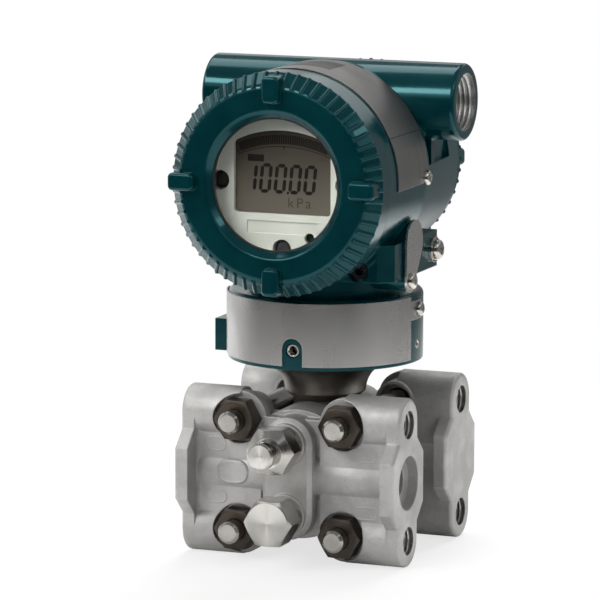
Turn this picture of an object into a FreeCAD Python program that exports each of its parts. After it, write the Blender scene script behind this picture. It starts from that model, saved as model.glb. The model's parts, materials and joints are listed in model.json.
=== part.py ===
import FreeCAD, Part
import math
import os
import types

import Sketcher

# Gauge pressure transmitter, in millimetres.
# +Z is up, -Y is the display side, +X is the side with the process port and the conduit entry.
# Each piece is modelled about the upright swivel axis, which sits axis_y behind the frame's origin.

# Driving sizes: name, value, what it is
DRIVING_SIZES = [
    ("axis_y", 5.2, "swivel axis behind the origin"),
    ("fit_gap", 0.1, "gap of fixed fits"),
    ("run_gap", 0.06, "radial gap of running fits"),
    ("face_gap", 0.3, "gap between moving faces"),
    # Process flanges
    ("port_pitch", 54.0, "between the two flange mid planes"),
    ("tap_pitch", 41.3, "between the tapped holes of one flange"),
    ("tapped_reach", 41.8, "tapped end face from the flange middle"),
    ("plain_reach", 40.4, "plain end face from the flange middle"),
    ("lobe_r", 9.3, "radius of the four ears"),
    ("end_depth", 5.0, "thickness of the end plates"),
    ("block_half", 15.6, "half depth of the port block"),
    ("block_flat", 9.2, "half height of the port block's straight side"),
    ("block_waist", 15.2, "half height where its slope meets the ear"),
    ("web_front", 6.6, "web face in front of the mid plane"),
    ("mid_front", 4.4, "recessed middle in front of the mid plane"),
    ("mid_half", 11.0, "half width of the recessed middle"),
    ("rib_r", 9.5, "radius of the half-round rib"),
    ("rib_back", 1.5, "rib axis behind the mid plane"),
    ("pad_r", 9.3, "end radius of the plug pad"),
    ("pad_front", 10.6, "plug pad face in front of the mid plane"),
    ("pad_bevel", 1.4, "bevel of the plug pad"),
    ("plug_pitch", 25.0, "between vent and drain plug"),
    ("spot_boss_r", 7.6, "radius of the plug seats"),
    ("spot_boss_front", 13.0, "plug seat in front of the mid plane"),
    ("seat_r", 23.0, "radius of capsule and flange seat"),
    ("chamber_r", 18.6, "radius of the pressure chamber"),
    ("chamber_depth", 2.0, "depth of the pressure chamber"),
    ("gasket_in", 19.6, "inner radius of the capsule gasket"),
    ("gasket_out", 22.0, "outer radius of the capsule gasket"),
    ("gasket_depth", 1.2, "thickness of the capsule gasket"),
    ("tap_r", 4.95, "tapped hole radius"),
    ("tap_depth", 13.0, "tapped hole depth"),
    ("port_recess_r", 9.6, "port gasket recess radius"),
    ("port_recess_depth", 4.0, "port gasket recess depth"),
    ("port_r", 5.6, "port bore radius"),
    ("port_depth", 20.0, "port bore depth from the face"),
    ("passage_r", 1.6, "radius of inner passages"),
    ("passage_x", 14.0, "inner passage from the flange middle"),
    ("flange_round", 1.2, "edge rounding of the end plates"),
    ("flange_cove", 2.4, "cast fillet between end plates and web"),
    ("cove_in", 3.1, "ends of that fillet inside the ear axes"),
    # Flange bolts
    ("bolt_wall", 0.72, "room between bolt and capsule"),
    ("bolt_r", 4.0, "bolt radius"),
    ("bolt_clear", 0.4, "bolt hole clearance"),
    ("bolt_boss_r", 9.5, "boss round each bolt"),
    ("bolt_seat", 4.0, "nut seat in front of the mid plane"),
    ("bolt_seat_r", 8.7, "nut seat radius"),
    ("relief_r", 6.4, "relief round the bolt behind the ear"),
    ("relief_wall", 0.9, "wall of the boss round that relief"),
    ("relief_depth", 4.0, "depth of that relief"),
    ("nut_across", 13.8, "nut and bolt head across flats"),
    ("nut_height", 6.8, "nut height"),
    ("head_height", 5.6, "bolt head height"),
    ("bolt_over", 6.0, "bolt end past the nut"),
    ("bolt_tip", 0.9, "bevel of the bolt end"),
    ("nut_bevel", 1.3, "depth of the nut's bevel"),
    ("bevel_land", 0.3, "bevel ring inside the hexagon's flats"),
    # Plugs
    ("plug_hole_r", 5.7, "threaded plug hole radius"),
    ("plug_thread", 10.0, "plug thread length"),
    ("plug_collar_r", 7.2, "round collar of the plugs"),
    ("plug_collar", 5.4, "collar length"),
    ("plug_across", 15.7, "plug hexagon across flats"),
    ("plug_hex", 10.0, "plug hexagon length"),
    ("plug_bevel", 1.6, "depth of the plug's bevel"),
    ("vent_land_r", 5.4, "flat front of the vent plug"),
    ("vent_slope", 3.9, "depth of the vent plug's cone"),
    ("knob_r", 4.9, "vent screw radius"),
    ("knob_len", 6.6, "vent screw length"),
    ("knob_neck_r", 3.4, "neck of the vent screw"),
    ("knob_neck", 1.6, "length of that neck"),
    ("knob_cone", 2.0, "cone from the neck to the knob"),
    ("knob_edge", 0.7, "bevel of the knob"),
    ("needle_r", 2.0, "vent needle radius"),
    ("needle_point", 3.0, "length of the vent needle's point"),
    ("breather_r", 6.2, "breather cap radius"),
    ("breather_len", 4.0, "breather cap length"),
    # Capsule
    ("neck_r", 14.5, "capsule neck radius"),
    ("flare_h", 10.2, "height of the neck flare"),
    ("shoulder_r", 23.0, "neck shoulder radius"),
    ("neck_gap", 6.3, "shoulder above the flange tops"),
    ("shoulder_h", 1.8, "shoulder height"),
    ("flare_r", 10.5, "radius of the neck flare"),
    ("spigot_r", 20.0, "swivel spigot radius"),
    ("spigot_h", 11.7, "swivel spigot height inside the ring"),
    ("cell_bay_r", 12.0, "radius of the sensor pocket"),
    ("cell_bay_up", 3.7, "sensor pocket floor above the ring's underside"),
    ("cell_r", 8.0, "sensor cell radius"),
    ("cell_h", 3.0, "sensor cell height"),
    ("header_w", 10.0, "sensor header width"),
    ("header_d", 4.0, "sensor header depth"),
    ("header_h", 4.5, "sensor header height"),
    ("foil_r", 18.4, "diaphragm radius"),
    ("foil_ledge", 0.8, "diaphragm below the capsule face"),
    ("foil_depth", 0.25, "diaphragm thickness"),
    ("foil_wave", 0.35, "height of its corrugations"),
    ("foil_waves", 5, "number of corrugations"),
    ("foil_land", 2.0, "flat edge of the diaphragm"),
    ("swivel_seal_up", 2.5, "swivel O-ring above the ring's underside"),
    ("swivel_seal_r", 0.9, "swivel O-ring section radius"),
    ("seal_slack", 0.2, "side room of the swivel O-ring"),
    # Housing
    ("ring_h", 24.5, "base ring height"),
    ("ring_r", 34.7, "base ring radius"),
    ("ring_round", 2.0, "rounding of the ring's top edge"),
    ("foot_r", 28.0, "foot between ring and pedestal"),
    ("foot_round", 2.5, "fillet under the foot"),
    ("ped_left_in", 8.3, "pedestal's left side inside the body side"),
    ("ped_right_in", 2.8, "pedestal's right side inside the body side"),
    ("ped_front", 30.0, "pedestal reach to the front"),
    ("ped_back", 17.5, "pedestal reach to the back"),
    ("ped_gap", 7.2, "pedestal above the base ring"),
    ("ped_h", 13.0, "pedestal height"),
    ("ped_corner", 4.8, "cut-off front corner of the pedestal"),
    ("body_gap", 3.96, "body above the base ring"),
    ("body_r", 38.3, "body radius"),
    ("body_front", 36.7, "body rim in front of the axis"),
    ("taper_start", 1.0, "body taper starts in front of the axis"),
    ("body_back", 40.9, "body rim behind the axis"),
    ("rear_step", 0.3, "rear rim over the rear cover's radius"),
    ("body_wall", 5.8, "body wall round the front bay"),
    ("thread_step", 2.3, "cover thread over the bay radius"),
    ("thread_len", 9.5, "cover thread length in the body"),
    ("seal_step", 1.7, "seal counterbore over the thread radius"),
    ("seal_bore", 2.2, "seal counterbore depth"),
    ("front_bay_end", 5.0, "front bay floor in front of the axis"),
    ("rear_bay_end", 1.5, "rear bay floor behind the axis"),
    ("barrel_y", 12.7, "conduit barrel behind the axis"),
    ("barrel_drop", 0.26, "barrel top below the body top"),
    ("barrel_r", 13.7, "conduit barrel radius"),
    ("barrel_over", 9.4, "barrel end past the body side"),
    ("barrel_round", 1.4, "rounding of the barrel ends"),
    ("conduit_r", 10.3, "conduit thread radius"),
    ("conduit_len", 18.0, "conduit thread length"),
    ("conduit_bore_r", 9.2, "bore between the conduit threads"),
    ("recess_depth", 4.1, "side recess floor inside the body side"),
    ("recess_front", 2.0, "front of the side recess behind the axis"),
    ("recess_back", 29.0, "back of the side recess behind the axis"),
    ("recess_up", 2.74, "shelf of the side recess above the body axis"),
    ("recess_end_up", 12.94, "end of the side recess, inside the barrel"),
    ("stay_front", 8.5, "front of the stay under the barrel"),
    ("stay_back", 12.5, "back of the stay under the barrel"),
    ("stay_in", 1.9, "stay face inside the body side"),
    ("lug_reach", 40.2, "left ring lug reach"),
    ("lug_half", 5.8, "left ring lug half width"),
    ("lug_h", 11.5, "left ring lug height"),
    ("cavity_r", 14.0, "lead cavity above the spigot"),
    ("spigot_room", 1.0, "room above the spigot"),
    ("cavity_over", 1.7, "lead cavity past the ring top"),
    ("slot_half", 6.0, "lead slot half width"),
    ("slot_front", 16.0, "lead slot front"),
    ("slot_back", 8.0, "lead slot back"),
    ("slot_lap", 4.0, "lead slot's lap into cavity and bay"),
    ("hole_spare", 1.0, "depth of a screw hole past its screw"),
    # Covers
    ("cover_over", 0.6, "front cover past the body side"),
    ("cover_rim", 9.0, "straight rim of the front cover"),
    ("rear_inset", 4.3, "rear cover radius below the front one"),
    ("rear_cover_rim", 2.8, "straight rim of the rear cover"),
    ("bevel_depth", 4.8, "depth of the ribbed bevel"),
    ("bevel_run", 4.7, "radial run of the ribbed bevel"),
    ("face_round", 4.0, "rounding between bevel and face"),
    ("rib_count", 60, "ribs round the front cover"),
    ("rear_rib_count", 52, "ribs round the rear cover"),
    ("grip_r", 0.85, "grip rib radius"),
    ("grip_sink", 0.2, "grip rib axis inside the bevel"),
    ("lug_len", 9.6, "cover lug length"),
    ("lug_setback", 0.8, "cover lug inside the cover radius"),
    ("lug_width", 6.2, "cover lug width"),
    ("lug_rise", 3.1, "cover lug height over the face"),
    ("lug_root", 0.5, "cover lug root below the bevel"),
    ("lug_corner", 1.7, "cover lug corner radius"),
    ("lug_edge", 1.2, "cover lug edge rounding"),
    ("skirt_len", 8.0, "cover thread length"),
    ("skirt_wall", 3.0, "cover skirt wall"),
    ("seal_room", 2.3, "radial room of the cover seal"),
    ("seal_len", 2.6, "length of the seal land"),
    ("seal_r", 0.85, "cover seal section radius"),
    ("window_out", 25.6, "window chamfer outer radius"),
    ("window_round", 2.4, "rounding between face and window chamfer"),
    ("window_r", 23.4, "window radius"),
    ("lip_depth", 3.0, "window lip below the face"),
    ("lip_edge", 0.6, "straight edge of the window lip"),
    ("pocket_r", 28.2, "glass pocket radius"),
    ("pocket_low", 3.0, "glass pocket start above the rim plane"),
    ("gasket_thin", 0.5, "window gasket thickness"),
    ("gasket_show", 0.6, "window gasket seen inside the window edge"),
    ("glass_depth", 5.0, "window glass thickness"),
    ("retainer_in", 24.6, "window retainer bore"),
    ("retainer_h", 2.3, "window retainer height"),
    ("crown", 4.0, "rear cover thickness"),
    # Display
    ("bezel_front", 40.0, "display plate in front of the axis"),
    ("bezel_r", 25.0, "display plate radius"),
    ("bezel_wall", 1.4, "display plate skirt wall"),
    ("bezel_depth", 1.7, "display plate thickness"),
    ("lcd_half", 18.0, "half width of the display window"),
    ("lcd_low", 11.0, "display window below the axis"),
    ("lcd_side", 13.9, "display window side above the axis"),
    ("lcd_arch", 39.8, "radius of the window's arched top"),
    ("lcd_corner", 1.6, "corner radius of the display window"),
    ("panel_half", 18.8, "display panel half width"),
    ("panel_low", 11.9, "display panel below the axis"),
    ("panel_top", 19.6, "display panel above the axis"),
    ("panel_cut", 11.5, "half width of the panel's top edge"),
    ("panel_depth", 2.2, "display panel thickness"),
    ("post_ring", 23.1, "display screws from the axis"),
    ("post_r", 4.0, "display post radius"),
    ("post_hole_r", 3.4, "display screw well radius"),
    ("post_floor", 7.2, "floor of the display screw wells"),
    ("post_drop", 0.5, "display posts below the plate's front"),
    ("tag_half", 13.0, "bare label field half width"),
    ("tag_low", 17.8, "bare label field lower edge below the axis"),
    ("tag_top", 13.5, "bare label field upper edge below the axis"),
    ("tag_depth", 0.4, "bare label field depth"),
    ("pin_hole_r", 1.8, "small hole in the display plate"),
    ("pin_hole_x", 10.2, "small hole from the middle"),
    ("pin_hole_low", 18.9, "small hole below the axis"),
    ("board_depth", 1.6, "circuit board thickness"),
    ("case_front", 30.0, "electronics case in front of the axis"),
    ("case_gap", 2.5, "electronics case inside the bay"),
    ("case_wall", 2.0, "electronics case wall"),
    ("case_step", 14.4, "board step in front of the axis"),
    ("case_step_in", 3.5, "board step of the case"),
    ("ribbon_half", 0.4, "half thickness of the flat lead"),
    ("bend_low", 6.0, "lead bend starts below the cavity top"),
    ("bend_high", 2.5, "lead bend ends above the cavity top"),
    # Terminals
    ("term_half", 21.5, "terminal block half width"),
    ("term_low", 16.0, "terminal block below the axis"),
    ("term_top", 6.0, "terminal block above the axis"),
    ("term_depth", 10.5, "terminal block depth"),
    ("term_pitch", 14.0, "between terminal screws"),
    ("term_head_r", 3.3, "terminal screw head radius"),
    ("term_head_h", 2.1, "terminal screw head height"),
    ("term_slot", 1.6, "slot between terminals"),
    ("term_slot_depth", 4.0, "depth of those slots"),
    # Bands
    ("band_depth", 0.5, "plate thickness of the bands"),
    ("band_gap", 0.05, "gap under the bands"),
    ("name_front", 30.5, "name band front edge"),
    ("name_back", 1.3, "name band back edge"),
    ("name_drop", 2.6, "name band ends below the body axis"),
    ("name_screw_y", 2.9, "name band screws in front of the axis"),
    ("name_screw_drop", 0.86, "name band screws below the body axis"),
    ("data_low_up", 1.3, "data band above the ring's underside"),
    ("data_top_in", 0.8, "data band below the ring's top"),
    ("data_end", 6.2, "data band end in front of the axis"),
    ("tab_low_up", 15.3, "data band tab above the ring's underside"),
    ("tab_top_in", 2.4, "data band tab below the ring's top"),
    ("tab_end", 2.4, "data band tab end behind the axis"),
    ("data_screw_up", 18.7, "data band screws above the ring's underside"),
    ("spare_hole_up", 6.1, "spare hole above the ring's underside"),
    ("notch_half", 3.7, "set screw notch half width"),
    ("notch_x", 1.15, "set screw notch from the middle"),
    ("notch_arc_up", 7.6, "notch arch centre above the ring's underside"),
    ("set_screw_up", 6.9, "set screws above the ring's underside"),
    ("set_screw_r", 2.5, "set screw radius"),
    ("set_screw_len", 9.0, "set screw length"),
    ("socket_depth", 2.5, "socket depth of set screws"),
    # Small screws
    ("screw_head_r", 2.7, "small screw head radius"),
    ("screw_head_h", 1.7, "small screw head height"),
    ("screw_r", 1.2, "small screw radius"),
    ("screw_len", 4.6, "small screw length"),
    ("lock_in", 11.9, "lock bolt from the pedestal's right side"),
    ("lock_up", 3.8, "lock bolt above the pedestal's underside"),
    ("lock_r", 3.0, "lock bolt radius"),
    ("lock_well_r", 3.9, "lock bolt well radius"),
    ("lock_well", 3.0, "lock bolt well depth"),
    ("lock_sunk", 1.5, "lock bolt end above its well's floor"),
    ("lock_len", 9.0, "lock bolt length"),
    ("ground_y", 13.4, "earth screw behind the axis"),
    ("ground_up", 6.4, "earth screw above the pedestal's underside"),
    ("ground_head_r", 3.7, "earth screw head radius"),
    ("ground_head_h", 2.6, "earth screw head height"),
    ("ground_r", 2.0, "earth screw radius"),
    ("ground_len", 9.0, "earth screw length"),
    ("washer_r", 4.6, "earth washer radius"),
    ("washer_depth", 1.0, "earth washer thickness"),
    # Zero adjuster
    ("zero_proud", 0.5, "zero boss past the pedestal's side"),
    ("boss_root", 12.0, "depth of the zero boss"),
    ("zero_y", 9.0, "zero adjuster in front of the axis"),
    ("zero_up", 12.0, "zero adjuster above the pedestal's underside"),
    ("zero_end_r", 7.9, "wide end of the zero cover"),
    ("pivot_y", 12.9, "zero cover pivot in front of the axis"),
    ("pivot_drop", 1.1, "zero cover pivot below the pedestal's underside"),
    ("pivot_end_r", 4.0, "narrow end of the zero cover"),
    ("zero_plate", 0.9, "zero cover thickness"),
    ("zero_rim", 0.5, "zero boss inside the cover's outline"),
    ("zero_screw_r", 2.9, "zero screw radius"),
    ("zero_screw_len", 6.0, "zero screw length"),
    ("zero_sunk", 0.5, "zero screw below its boss"),
    ("zero_slot", 1.0, "zero screw slot width"),
    ("zero_slot_depth", 1.5, "zero screw slot depth"),
    ("pivot_r", 1.5, "pivot screw radius"),
    ("pivot_head_r", 3.0, "pivot screw head radius"),
    ("pivot_head_h", 1.8, "pivot screw head height"),
    ("pivot_len", 7.0, "pivot screw length"),
    # Blanking plug
    ("blank_len", 14.0, "blanking plug length"),
    ("blank_sunk", 0.5, "blanking plug inside the barrel end"),
    ("blank_across", 10.0, "blanking plug socket across flats"),
    ("blank_socket", 6.0, "blanking plug socket depth"),
]

doc = FreeCAD.newDocument("pressure_transmitter")
sheet = doc.addObject("Spreadsheet::Sheet", "dims")
for row, (name, value, note) in enumerate(DRIVING_SIZES, start=1):
    sheet.set(f"A{row}", note)
    sheet.set(f"B{row}", str(value))
    sheet.setAlias(f"B{row}", name)
doc.recompute()


class Size:
    """A length with its present value and the sheet expression that drives it."""

    def __init__(self, value, text):
        self.value = float(value)
        self.text = text

    def __add__(self, other):
        other = size(other)
        return Size(self.value + other.value, f"({self.text} + {other.text})")

    __radd__ = __add__

    def __sub__(self, other):
        other = size(other)
        return Size(self.value - other.value, f"({self.text} - {other.text})")

    def __rsub__(self, other):
        return size(other) - self

    def __mul__(self, factor):
        factor = size(factor)
        return Size(self.value * factor.value, f"({self.text} * {factor.text})")

    __rmul__ = __mul__

    def __truediv__(self, divisor):
        divisor = size(divisor)
        return Size(self.value / divisor.value, f"({self.text} / {divisor.text})")

    def __neg__(self):
        return Size(-self.value, f"(0 - {self.text})")

    def driven(self):
        return "dims." in self.text


def size(value):
    if isinstance(value, Size):
        return value
    return Size(value, f"({float(value):.6f})")


D = types.SimpleNamespace(**{name: Size(value, "dims." + name) for name, value, note in DRIVING_SIZES})

# Flange sizes that follow
FLANGE_Z = D.tap_pitch / 2 + D.lobe_r
FLANGE_Y = D.port_pitch / 2
TAP_Y = D.tap_pitch / 2
BOLT_XY = (D.seat_r + D.bolt_r + D.bolt_wall) * math.sqrt(0.5)
PLUG_Y = D.plug_pitch / 2
CAPSULE_HALF = FLANGE_Y - D.block_half
D.bolt_hole_r = D.bolt_r + D.bolt_clear

# Heights that follow, from the flanges up
D.shoulder_z = FLANGE_Z * 2 + D.neck_gap
D.neck_start = D.shoulder_z - D.flare_h
D.ring_low = D.shoulder_z + D.shoulder_h + D.face_gap
D.ring_top = D.ring_low + D.ring_h
D.swivel_seal_z = D.ring_low + D.swivel_seal_up
D.spigot_top = D.ring_low + D.spigot_h
D.cell_bay_z = D.ring_low + D.cell_bay_up
D.lug_top = D.ring_low + D.lug_h
D.cavity_low = D.spigot_top + D.spigot_room
D.cavity_top = D.ring_top + D.cavity_over
D.ped_low = D.ring_top + D.ped_gap
D.ped_top = D.ped_low + D.ped_h
D.body_z = D.ring_top + D.body_gap + D.body_r
D.barrel_z = D.body_z + D.body_r - D.barrel_drop - D.barrel_r
D.recess_low = D.body_z + D.recess_up
D.recess_top = D.body_z + D.recess_end_up
D.name_screw_z = D.body_z - D.name_screw_drop
D.data_low = D.ring_low + D.data_low_up
D.data_top = D.ring_top - D.data_top_in
D.tab_low = D.ring_low + D.tab_low_up
D.tab_top = D.ring_top - D.tab_top_in
D.data_screw_z = D.ring_low + D.data_screw_up
D.spare_hole_z = D.ring_low + D.spare_hole_up
D.notch_arc_z = D.ring_low + D.notch_arc_up
D.set_screw_z = D.ring_low + D.set_screw_up
D.lock_z = D.ped_low + D.lock_up
D.ground_z = D.ped_low + D.ground_up
D.zero_z = D.ped_low + D.zero_up
D.pivot_z = D.ped_low - D.pivot_drop

# Widths that follow, from the body's radius
D.ped_left = D.body_r - D.ped_left_in
D.ped_right = D.body_r - D.ped_right_in
D.lock_x = D.ped_right - D.lock_in
D.zero_face = D.ped_right + D.zero_proud
D.barrel_half = D.body_r + D.barrel_over
D.recess_floor = D.body_r - D.recess_depth
D.stay_out = D.body_r - D.stay_in
D.bay_r = D.body_r - D.body_wall
D.thread_r = D.bay_r + D.thread_step
D.seal_bore_r = D.thread_r + D.seal_step
D.seal_neck_r = D.seal_bore_r - D.seal_room
D.seal_mid_r = (D.seal_neck_r + D.seal_bore_r) / 2
D.skirt_r = D.thread_r - D.face_gap
D.skirt_bore = D.skirt_r - D.skirt_wall
D.cover_r = D.body_r + D.cover_over
D.bevel_r = D.cover_r - D.bevel_run
D.lug_out = D.cover_r - D.lug_setback
D.lug_in = D.lug_out - D.lug_len
D.rear_cover_r = D.cover_r - D.rear_inset
D.body_back_r = D.rear_cover_r + D.rear_step
D.case_r = D.bay_r - D.case_gap
D.case_inner_r = D.case_r - D.case_step_in

ADD = "Additive"
CUT = "Subtractive"
HEX_CORNER = 1 / math.sqrt(3)
PAST = 1
NEAR = 0.01
X_AXIS = FreeCAD.Vector(1, 0, 0)
Y_AXIS = FreeCAD.Vector(0, 1, 0)
Z_AXIS = FreeCAD.Vector(0, 0, 1)
TURNS = {
    "+Z": FreeCAD.Rotation(),
    "-Z": FreeCAD.Rotation(X_AXIS, 180),
    "+X": FreeCAD.Rotation(Y_AXIS, 90),
    "-X": FreeCAD.Rotation(Y_AXIS, -90),
    "+Y": FreeCAD.Rotation(X_AXIS, -90),
    "-Y": FreeCAD.Rotation(X_AXIS, 90),
}
TO_FRONT = TURNS["-Y"]
TO_BACK = FreeCAD.Rotation(Z_AXIS, 180).multiply(TURNS["-Y"])


# Helpers that make document objects bound to the sheet.
# A cut runs PAST the surface that it opens, and two edges match when they lie NEAR each other.

def put(thing, prop, value):
    value = size(value)
    setattr(thing, prop, value.value)
    if value.driven():
        thing.setExpression(prop, value.text)


def place(thing, at, turn):
    at = [size(v) for v in at]
    thing.Placement = FreeCAD.Placement(FreeCAD.Vector(*[v.value for v in at]), turn)
    for letter, v in zip("xyz", at):
        if v.driven():
            thing.setExpression("Placement.Base." + letter, v.text)


def new_body(label, at=(0, 0, 0), turn=TURNS["+Z"]):
    body = doc.addObject("PartDesign::Body", label)
    body.Label = label
    place(body, (at[0], D.axis_y + at[1], at[2]), turn)
    return body


def origin_part(body, role):
    return [part for part in body.Origin.OriginFeatures if part.Role == role][0]


def rod(body, op, radius, length, at, along="+Z"):
    feature = body.newObject(f"PartDesign::{op}Cylinder", "rod")
    put(feature, "Radius", radius)
    put(feature, "Height", length)
    place(feature, at, TURNS[along])
    return feature


def cone(body, op, radius, end_radius, length, at, along="+Z"):
    feature = body.newObject(f"PartDesign::{op}Cone", "cone")
    put(feature, "Radius1", radius)
    put(feature, "Radius2", end_radius)
    put(feature, "Height", length)
    place(feature, at, TURNS[along])
    return feature


def block(body, op, low, high):
    feature = body.newObject(f"PartDesign::{op}Box", "block")
    for prop, a, b in zip(("Length", "Width", "Height"), low, high):
        put(feature, prop, size(b) - a)
    place(feature, low, TURNS["+Z"])
    return feature


def hexagon(body, op, across, length, at, along="+Z"):
    feature = body.newObject(f"PartDesign::{op}Prism", "hexagon")
    feature.Polygon = 6
    put(feature, "Circumradius", across * HEX_CORNER)
    put(feature, "Height", length)
    place(feature, at, TURNS[along])
    return feature


def torus(body, op, ring_radius, radius, at):
    feature = body.newObject(f"PartDesign::{op}Torus", "torus")
    put(feature, "Radius1", ring_radius)
    put(feature, "Radius2", radius)
    place(feature, at, TURNS["+Z"])
    return feature


def side_curve(start, end, radius):
    """A line, or the short arc of that radius: positive turns left, negative turns right."""
    if radius is None:
        return Part.LineSegment(start, end), 1, 2
    chord = end - start
    middle = (start + end) * 0.5
    left = FreeCAD.Vector(-chord.y, chord.x, 0).normalize()
    reach = math.sqrt(radius.value ** 2 - (chord.Length / 2) ** 2)
    turn = math.copysign(1, radius.value)
    centre = middle + left * (turn * reach)
    first, last = (start, end) if turn > 0 else (end, start)
    angles = [math.atan2(p.y - centre.y, p.x - centre.x) for p in (first, last)]
    circle = Part.Circle(centre, Z_AXIS, abs(radius.value))
    arc = Part.ArcOfCircle(circle, angles[0], angles[1])
    return (arc, 1, 2) if turn > 0 else (arc, 2, 1)


def outline(body, points, plane, offset=0):
    """Closed sketch. A point is (x, y), or (x, y, radius) when an arc leads to the next point."""
    sketch = body.newObject("Sketcher::SketchObject", "outline")
    sketch.AttachmentSupport = (origin_part(body, plane), [""])
    sketch.MapMode = "FlatFace"
    offset = size(offset)
    sketch.AttachmentOffset = FreeCAD.Placement(FreeCAD.Vector(0, 0, offset.value), FreeCAD.Rotation())
    if offset.driven():
        sketch.setExpression("AttachmentOffset.Base.z", offset.text)
    corners = [(size(p[0]), size(p[1])) for p in points]
    radii = [size(p[2]) if len(p) > 2 else None for p in points]
    spots = [FreeCAD.Vector(x.value, y.value, 0) for x, y in corners]
    sides = []
    for i, radius in enumerate(radii):
        curve, start, end = side_curve(spots[i], spots[(i + 1) % len(spots)], radius)
        sides.append((sketch.addGeometry(curve, False), start, end))
    for i, (geo, start, end) in enumerate(sides):
        next_geo, next_start, next_end = sides[(i + 1) % len(sides)]
        sketch.addConstraint(Sketcher.Constraint("Coincident", geo, end, next_geo, next_start))
    for (geo, start, end), corner in zip(sides, corners):
        for kind, axis, value in (("DistanceX", -2, corner[0]), ("DistanceY", -1, corner[1])):
            if value.value == 0 and not value.driven():
                sketch.addConstraint(Sketcher.Constraint("PointOnObject", geo, start, axis))
                continue
            index = sketch.addConstraint(Sketcher.Constraint(kind, -1, 1, geo, start, value.value))
            if value.driven():
                sketch.setExpression(f"Constraints[{index}]", value.text)
    for (geo, start, end), radius in zip(sides, radii):
        if radius is None:
            continue
        index = sketch.addConstraint(Sketcher.Constraint("Radius", geo, abs(radius.value)))
        if radius.driven():
            sketch.setExpression(f"Constraints[{index}]", f"abs({radius.text})")
    return sketch


def turned(body, op, points):
    """Revolve an outline given as (radius, height) about the body's Z axis."""
    kind = "Revolution" if op == ADD else "Groove"
    sketch = outline(body, points, "XZ_Plane")
    feature = body.newObject("PartDesign::" + kind, kind.lower())
    feature.Profile = sketch
    feature.ReferenceAxis = (sketch, ["V_Axis"])
    feature.Angle = 360
    return feature


def raised(body, op, points, plane, start, length):
    """Pad or pocket an outline along the plane's normal, from start, over length."""
    kind = "Pad" if op == ADD else "Pocket"
    sketch = outline(body, points, plane, start)
    feature = body.newObject("PartDesign::" + kind, kind.lower())
    feature.Profile = sketch
    feature.Reversed = op == CUT
    put(feature, "Length", length)
    return feature


def polar(body, features, count):
    feature = body.newObject("PartDesign::PolarPattern", "polar")
    feature.Originals = features
    feature.Axis = (origin_part(body, "Z_Axis"), [""])
    feature.Angle = 360
    feature.Occurrences = count
    body.Tip = feature
    return feature


def rounded(body, radius, chosen):
    """Round the edges of the body as it is now that the test chooses."""
    doc.recompute()
    edges = body.Tip.Shape.Edges
    names = [f"Edge{i}" for i, edge in enumerate(edges, start=1) if chosen(edge)]
    feature = body.newObject("PartDesign::Fillet", "rounded")
    feature.Base = (feature.BaseFeature, names)
    put(feature, "Radius", radius)
    return feature


def group(label, bodies):
    compound = doc.addObject("Part::Compound", label)
    compound.Label = label
    compound.Links = bodies
    return compound


def ring(body, op, inner, outer, low, high):
    return turned(body, op, [(inner, low), (outer, low), (outer, high), (inner, high)])


def hexagon_bevel(body, across, top, depth):
    """Cut the corners off a hexagon's end, as on a turned nut."""
    corner = across * HEX_CORNER + PAST
    turned(body, CUT, [(across / 2 - D.bevel_land, top + NEAR), (corner, top + NEAR), (corner, top - depth)])


def pan_screw(label, at, along, head_r, head_h, shank_r, shank_len):
    body = new_body(label, at, TURNS[along])
    crown_r = head_r * 0.55
    side_h = head_h * 0.4
    crown_arc = head_r * 0.7
    turned(body, ADD, [
        (0, -shank_len),
        (shank_r, -shank_len),
        (shank_r, 0),
        (head_r, 0),
        (head_r, side_h, crown_arc),
        (crown_r, head_h),
        (0, head_h),
    ])
    return body


def socket_screw(label, at, along, radius, length, across, depth):
    body = new_body(label, at, TURNS[along])
    rod(body, ADD, radius, length, (0, 0, -length))
    hexagon(body, CUT, across, depth + PAST, (0, 0, -depth))
    return body


# Process flanges. Local +Y is up and local +Z points away from the capsule.

def end_plate(body, side, reach):
    """Lobed end plate with its port block, its outer face at local X = side * reach."""
    profile = [
        (-D.block_waist, -D.lobe_r),
        (-D.block_flat, -D.block_half),
        (D.block_flat, -D.block_half),
        (D.block_waist, -D.lobe_r),
        (D.block_waist, D.lobe_r),
        (D.block_flat, D.block_half),
        (-D.block_flat, D.block_half),
        (-D.block_waist, D.lobe_r),
    ]
    start = reach - D.end_depth if side > 0 else -reach
    raised(body, ADD, profile, "YZ_Plane", start, D.end_depth)
    for row in (-1, 1):
        low_y, high_y = (-TAP_Y, -D.block_waist) if row < 0 else (D.block_waist, TAP_Y)
        block(body, ADD, (start, low_y, -D.lobe_r), (start + D.end_depth, high_y, D.lobe_r))
        ear_start = BOLT_XY if side > 0 else -reach
        rod(body, ADD, D.lobe_r, reach - BOLT_XY, (ear_start, TAP_Y * row, 0), "+X")


def cast_cove(body, side, inner):
    """Cast fillet between the web and the inner side of an end plate."""
    foot = inner - D.flange_cove * side
    root = inner + D.flange_cove * side
    low = D.web_front - D.flange_cove
    top = D.web_front + D.flange_cove
    half = TAP_Y - D.cove_in
    raised(body, ADD, [
        (foot, D.web_front, D.flange_cove * side),
        (inner, top),
        (root, top),
        (root, low),
        (foot, low),
    ], "XZ_Plane", -half, half * 2)


def on_end_face(edge, ends):
    """True for the edges that lie in one of the two end faces."""
    box = edge.BoundBox
    return box.XLength < NEAR and min(abs(box.XMin - end) for end in ends) < NEAR


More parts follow.
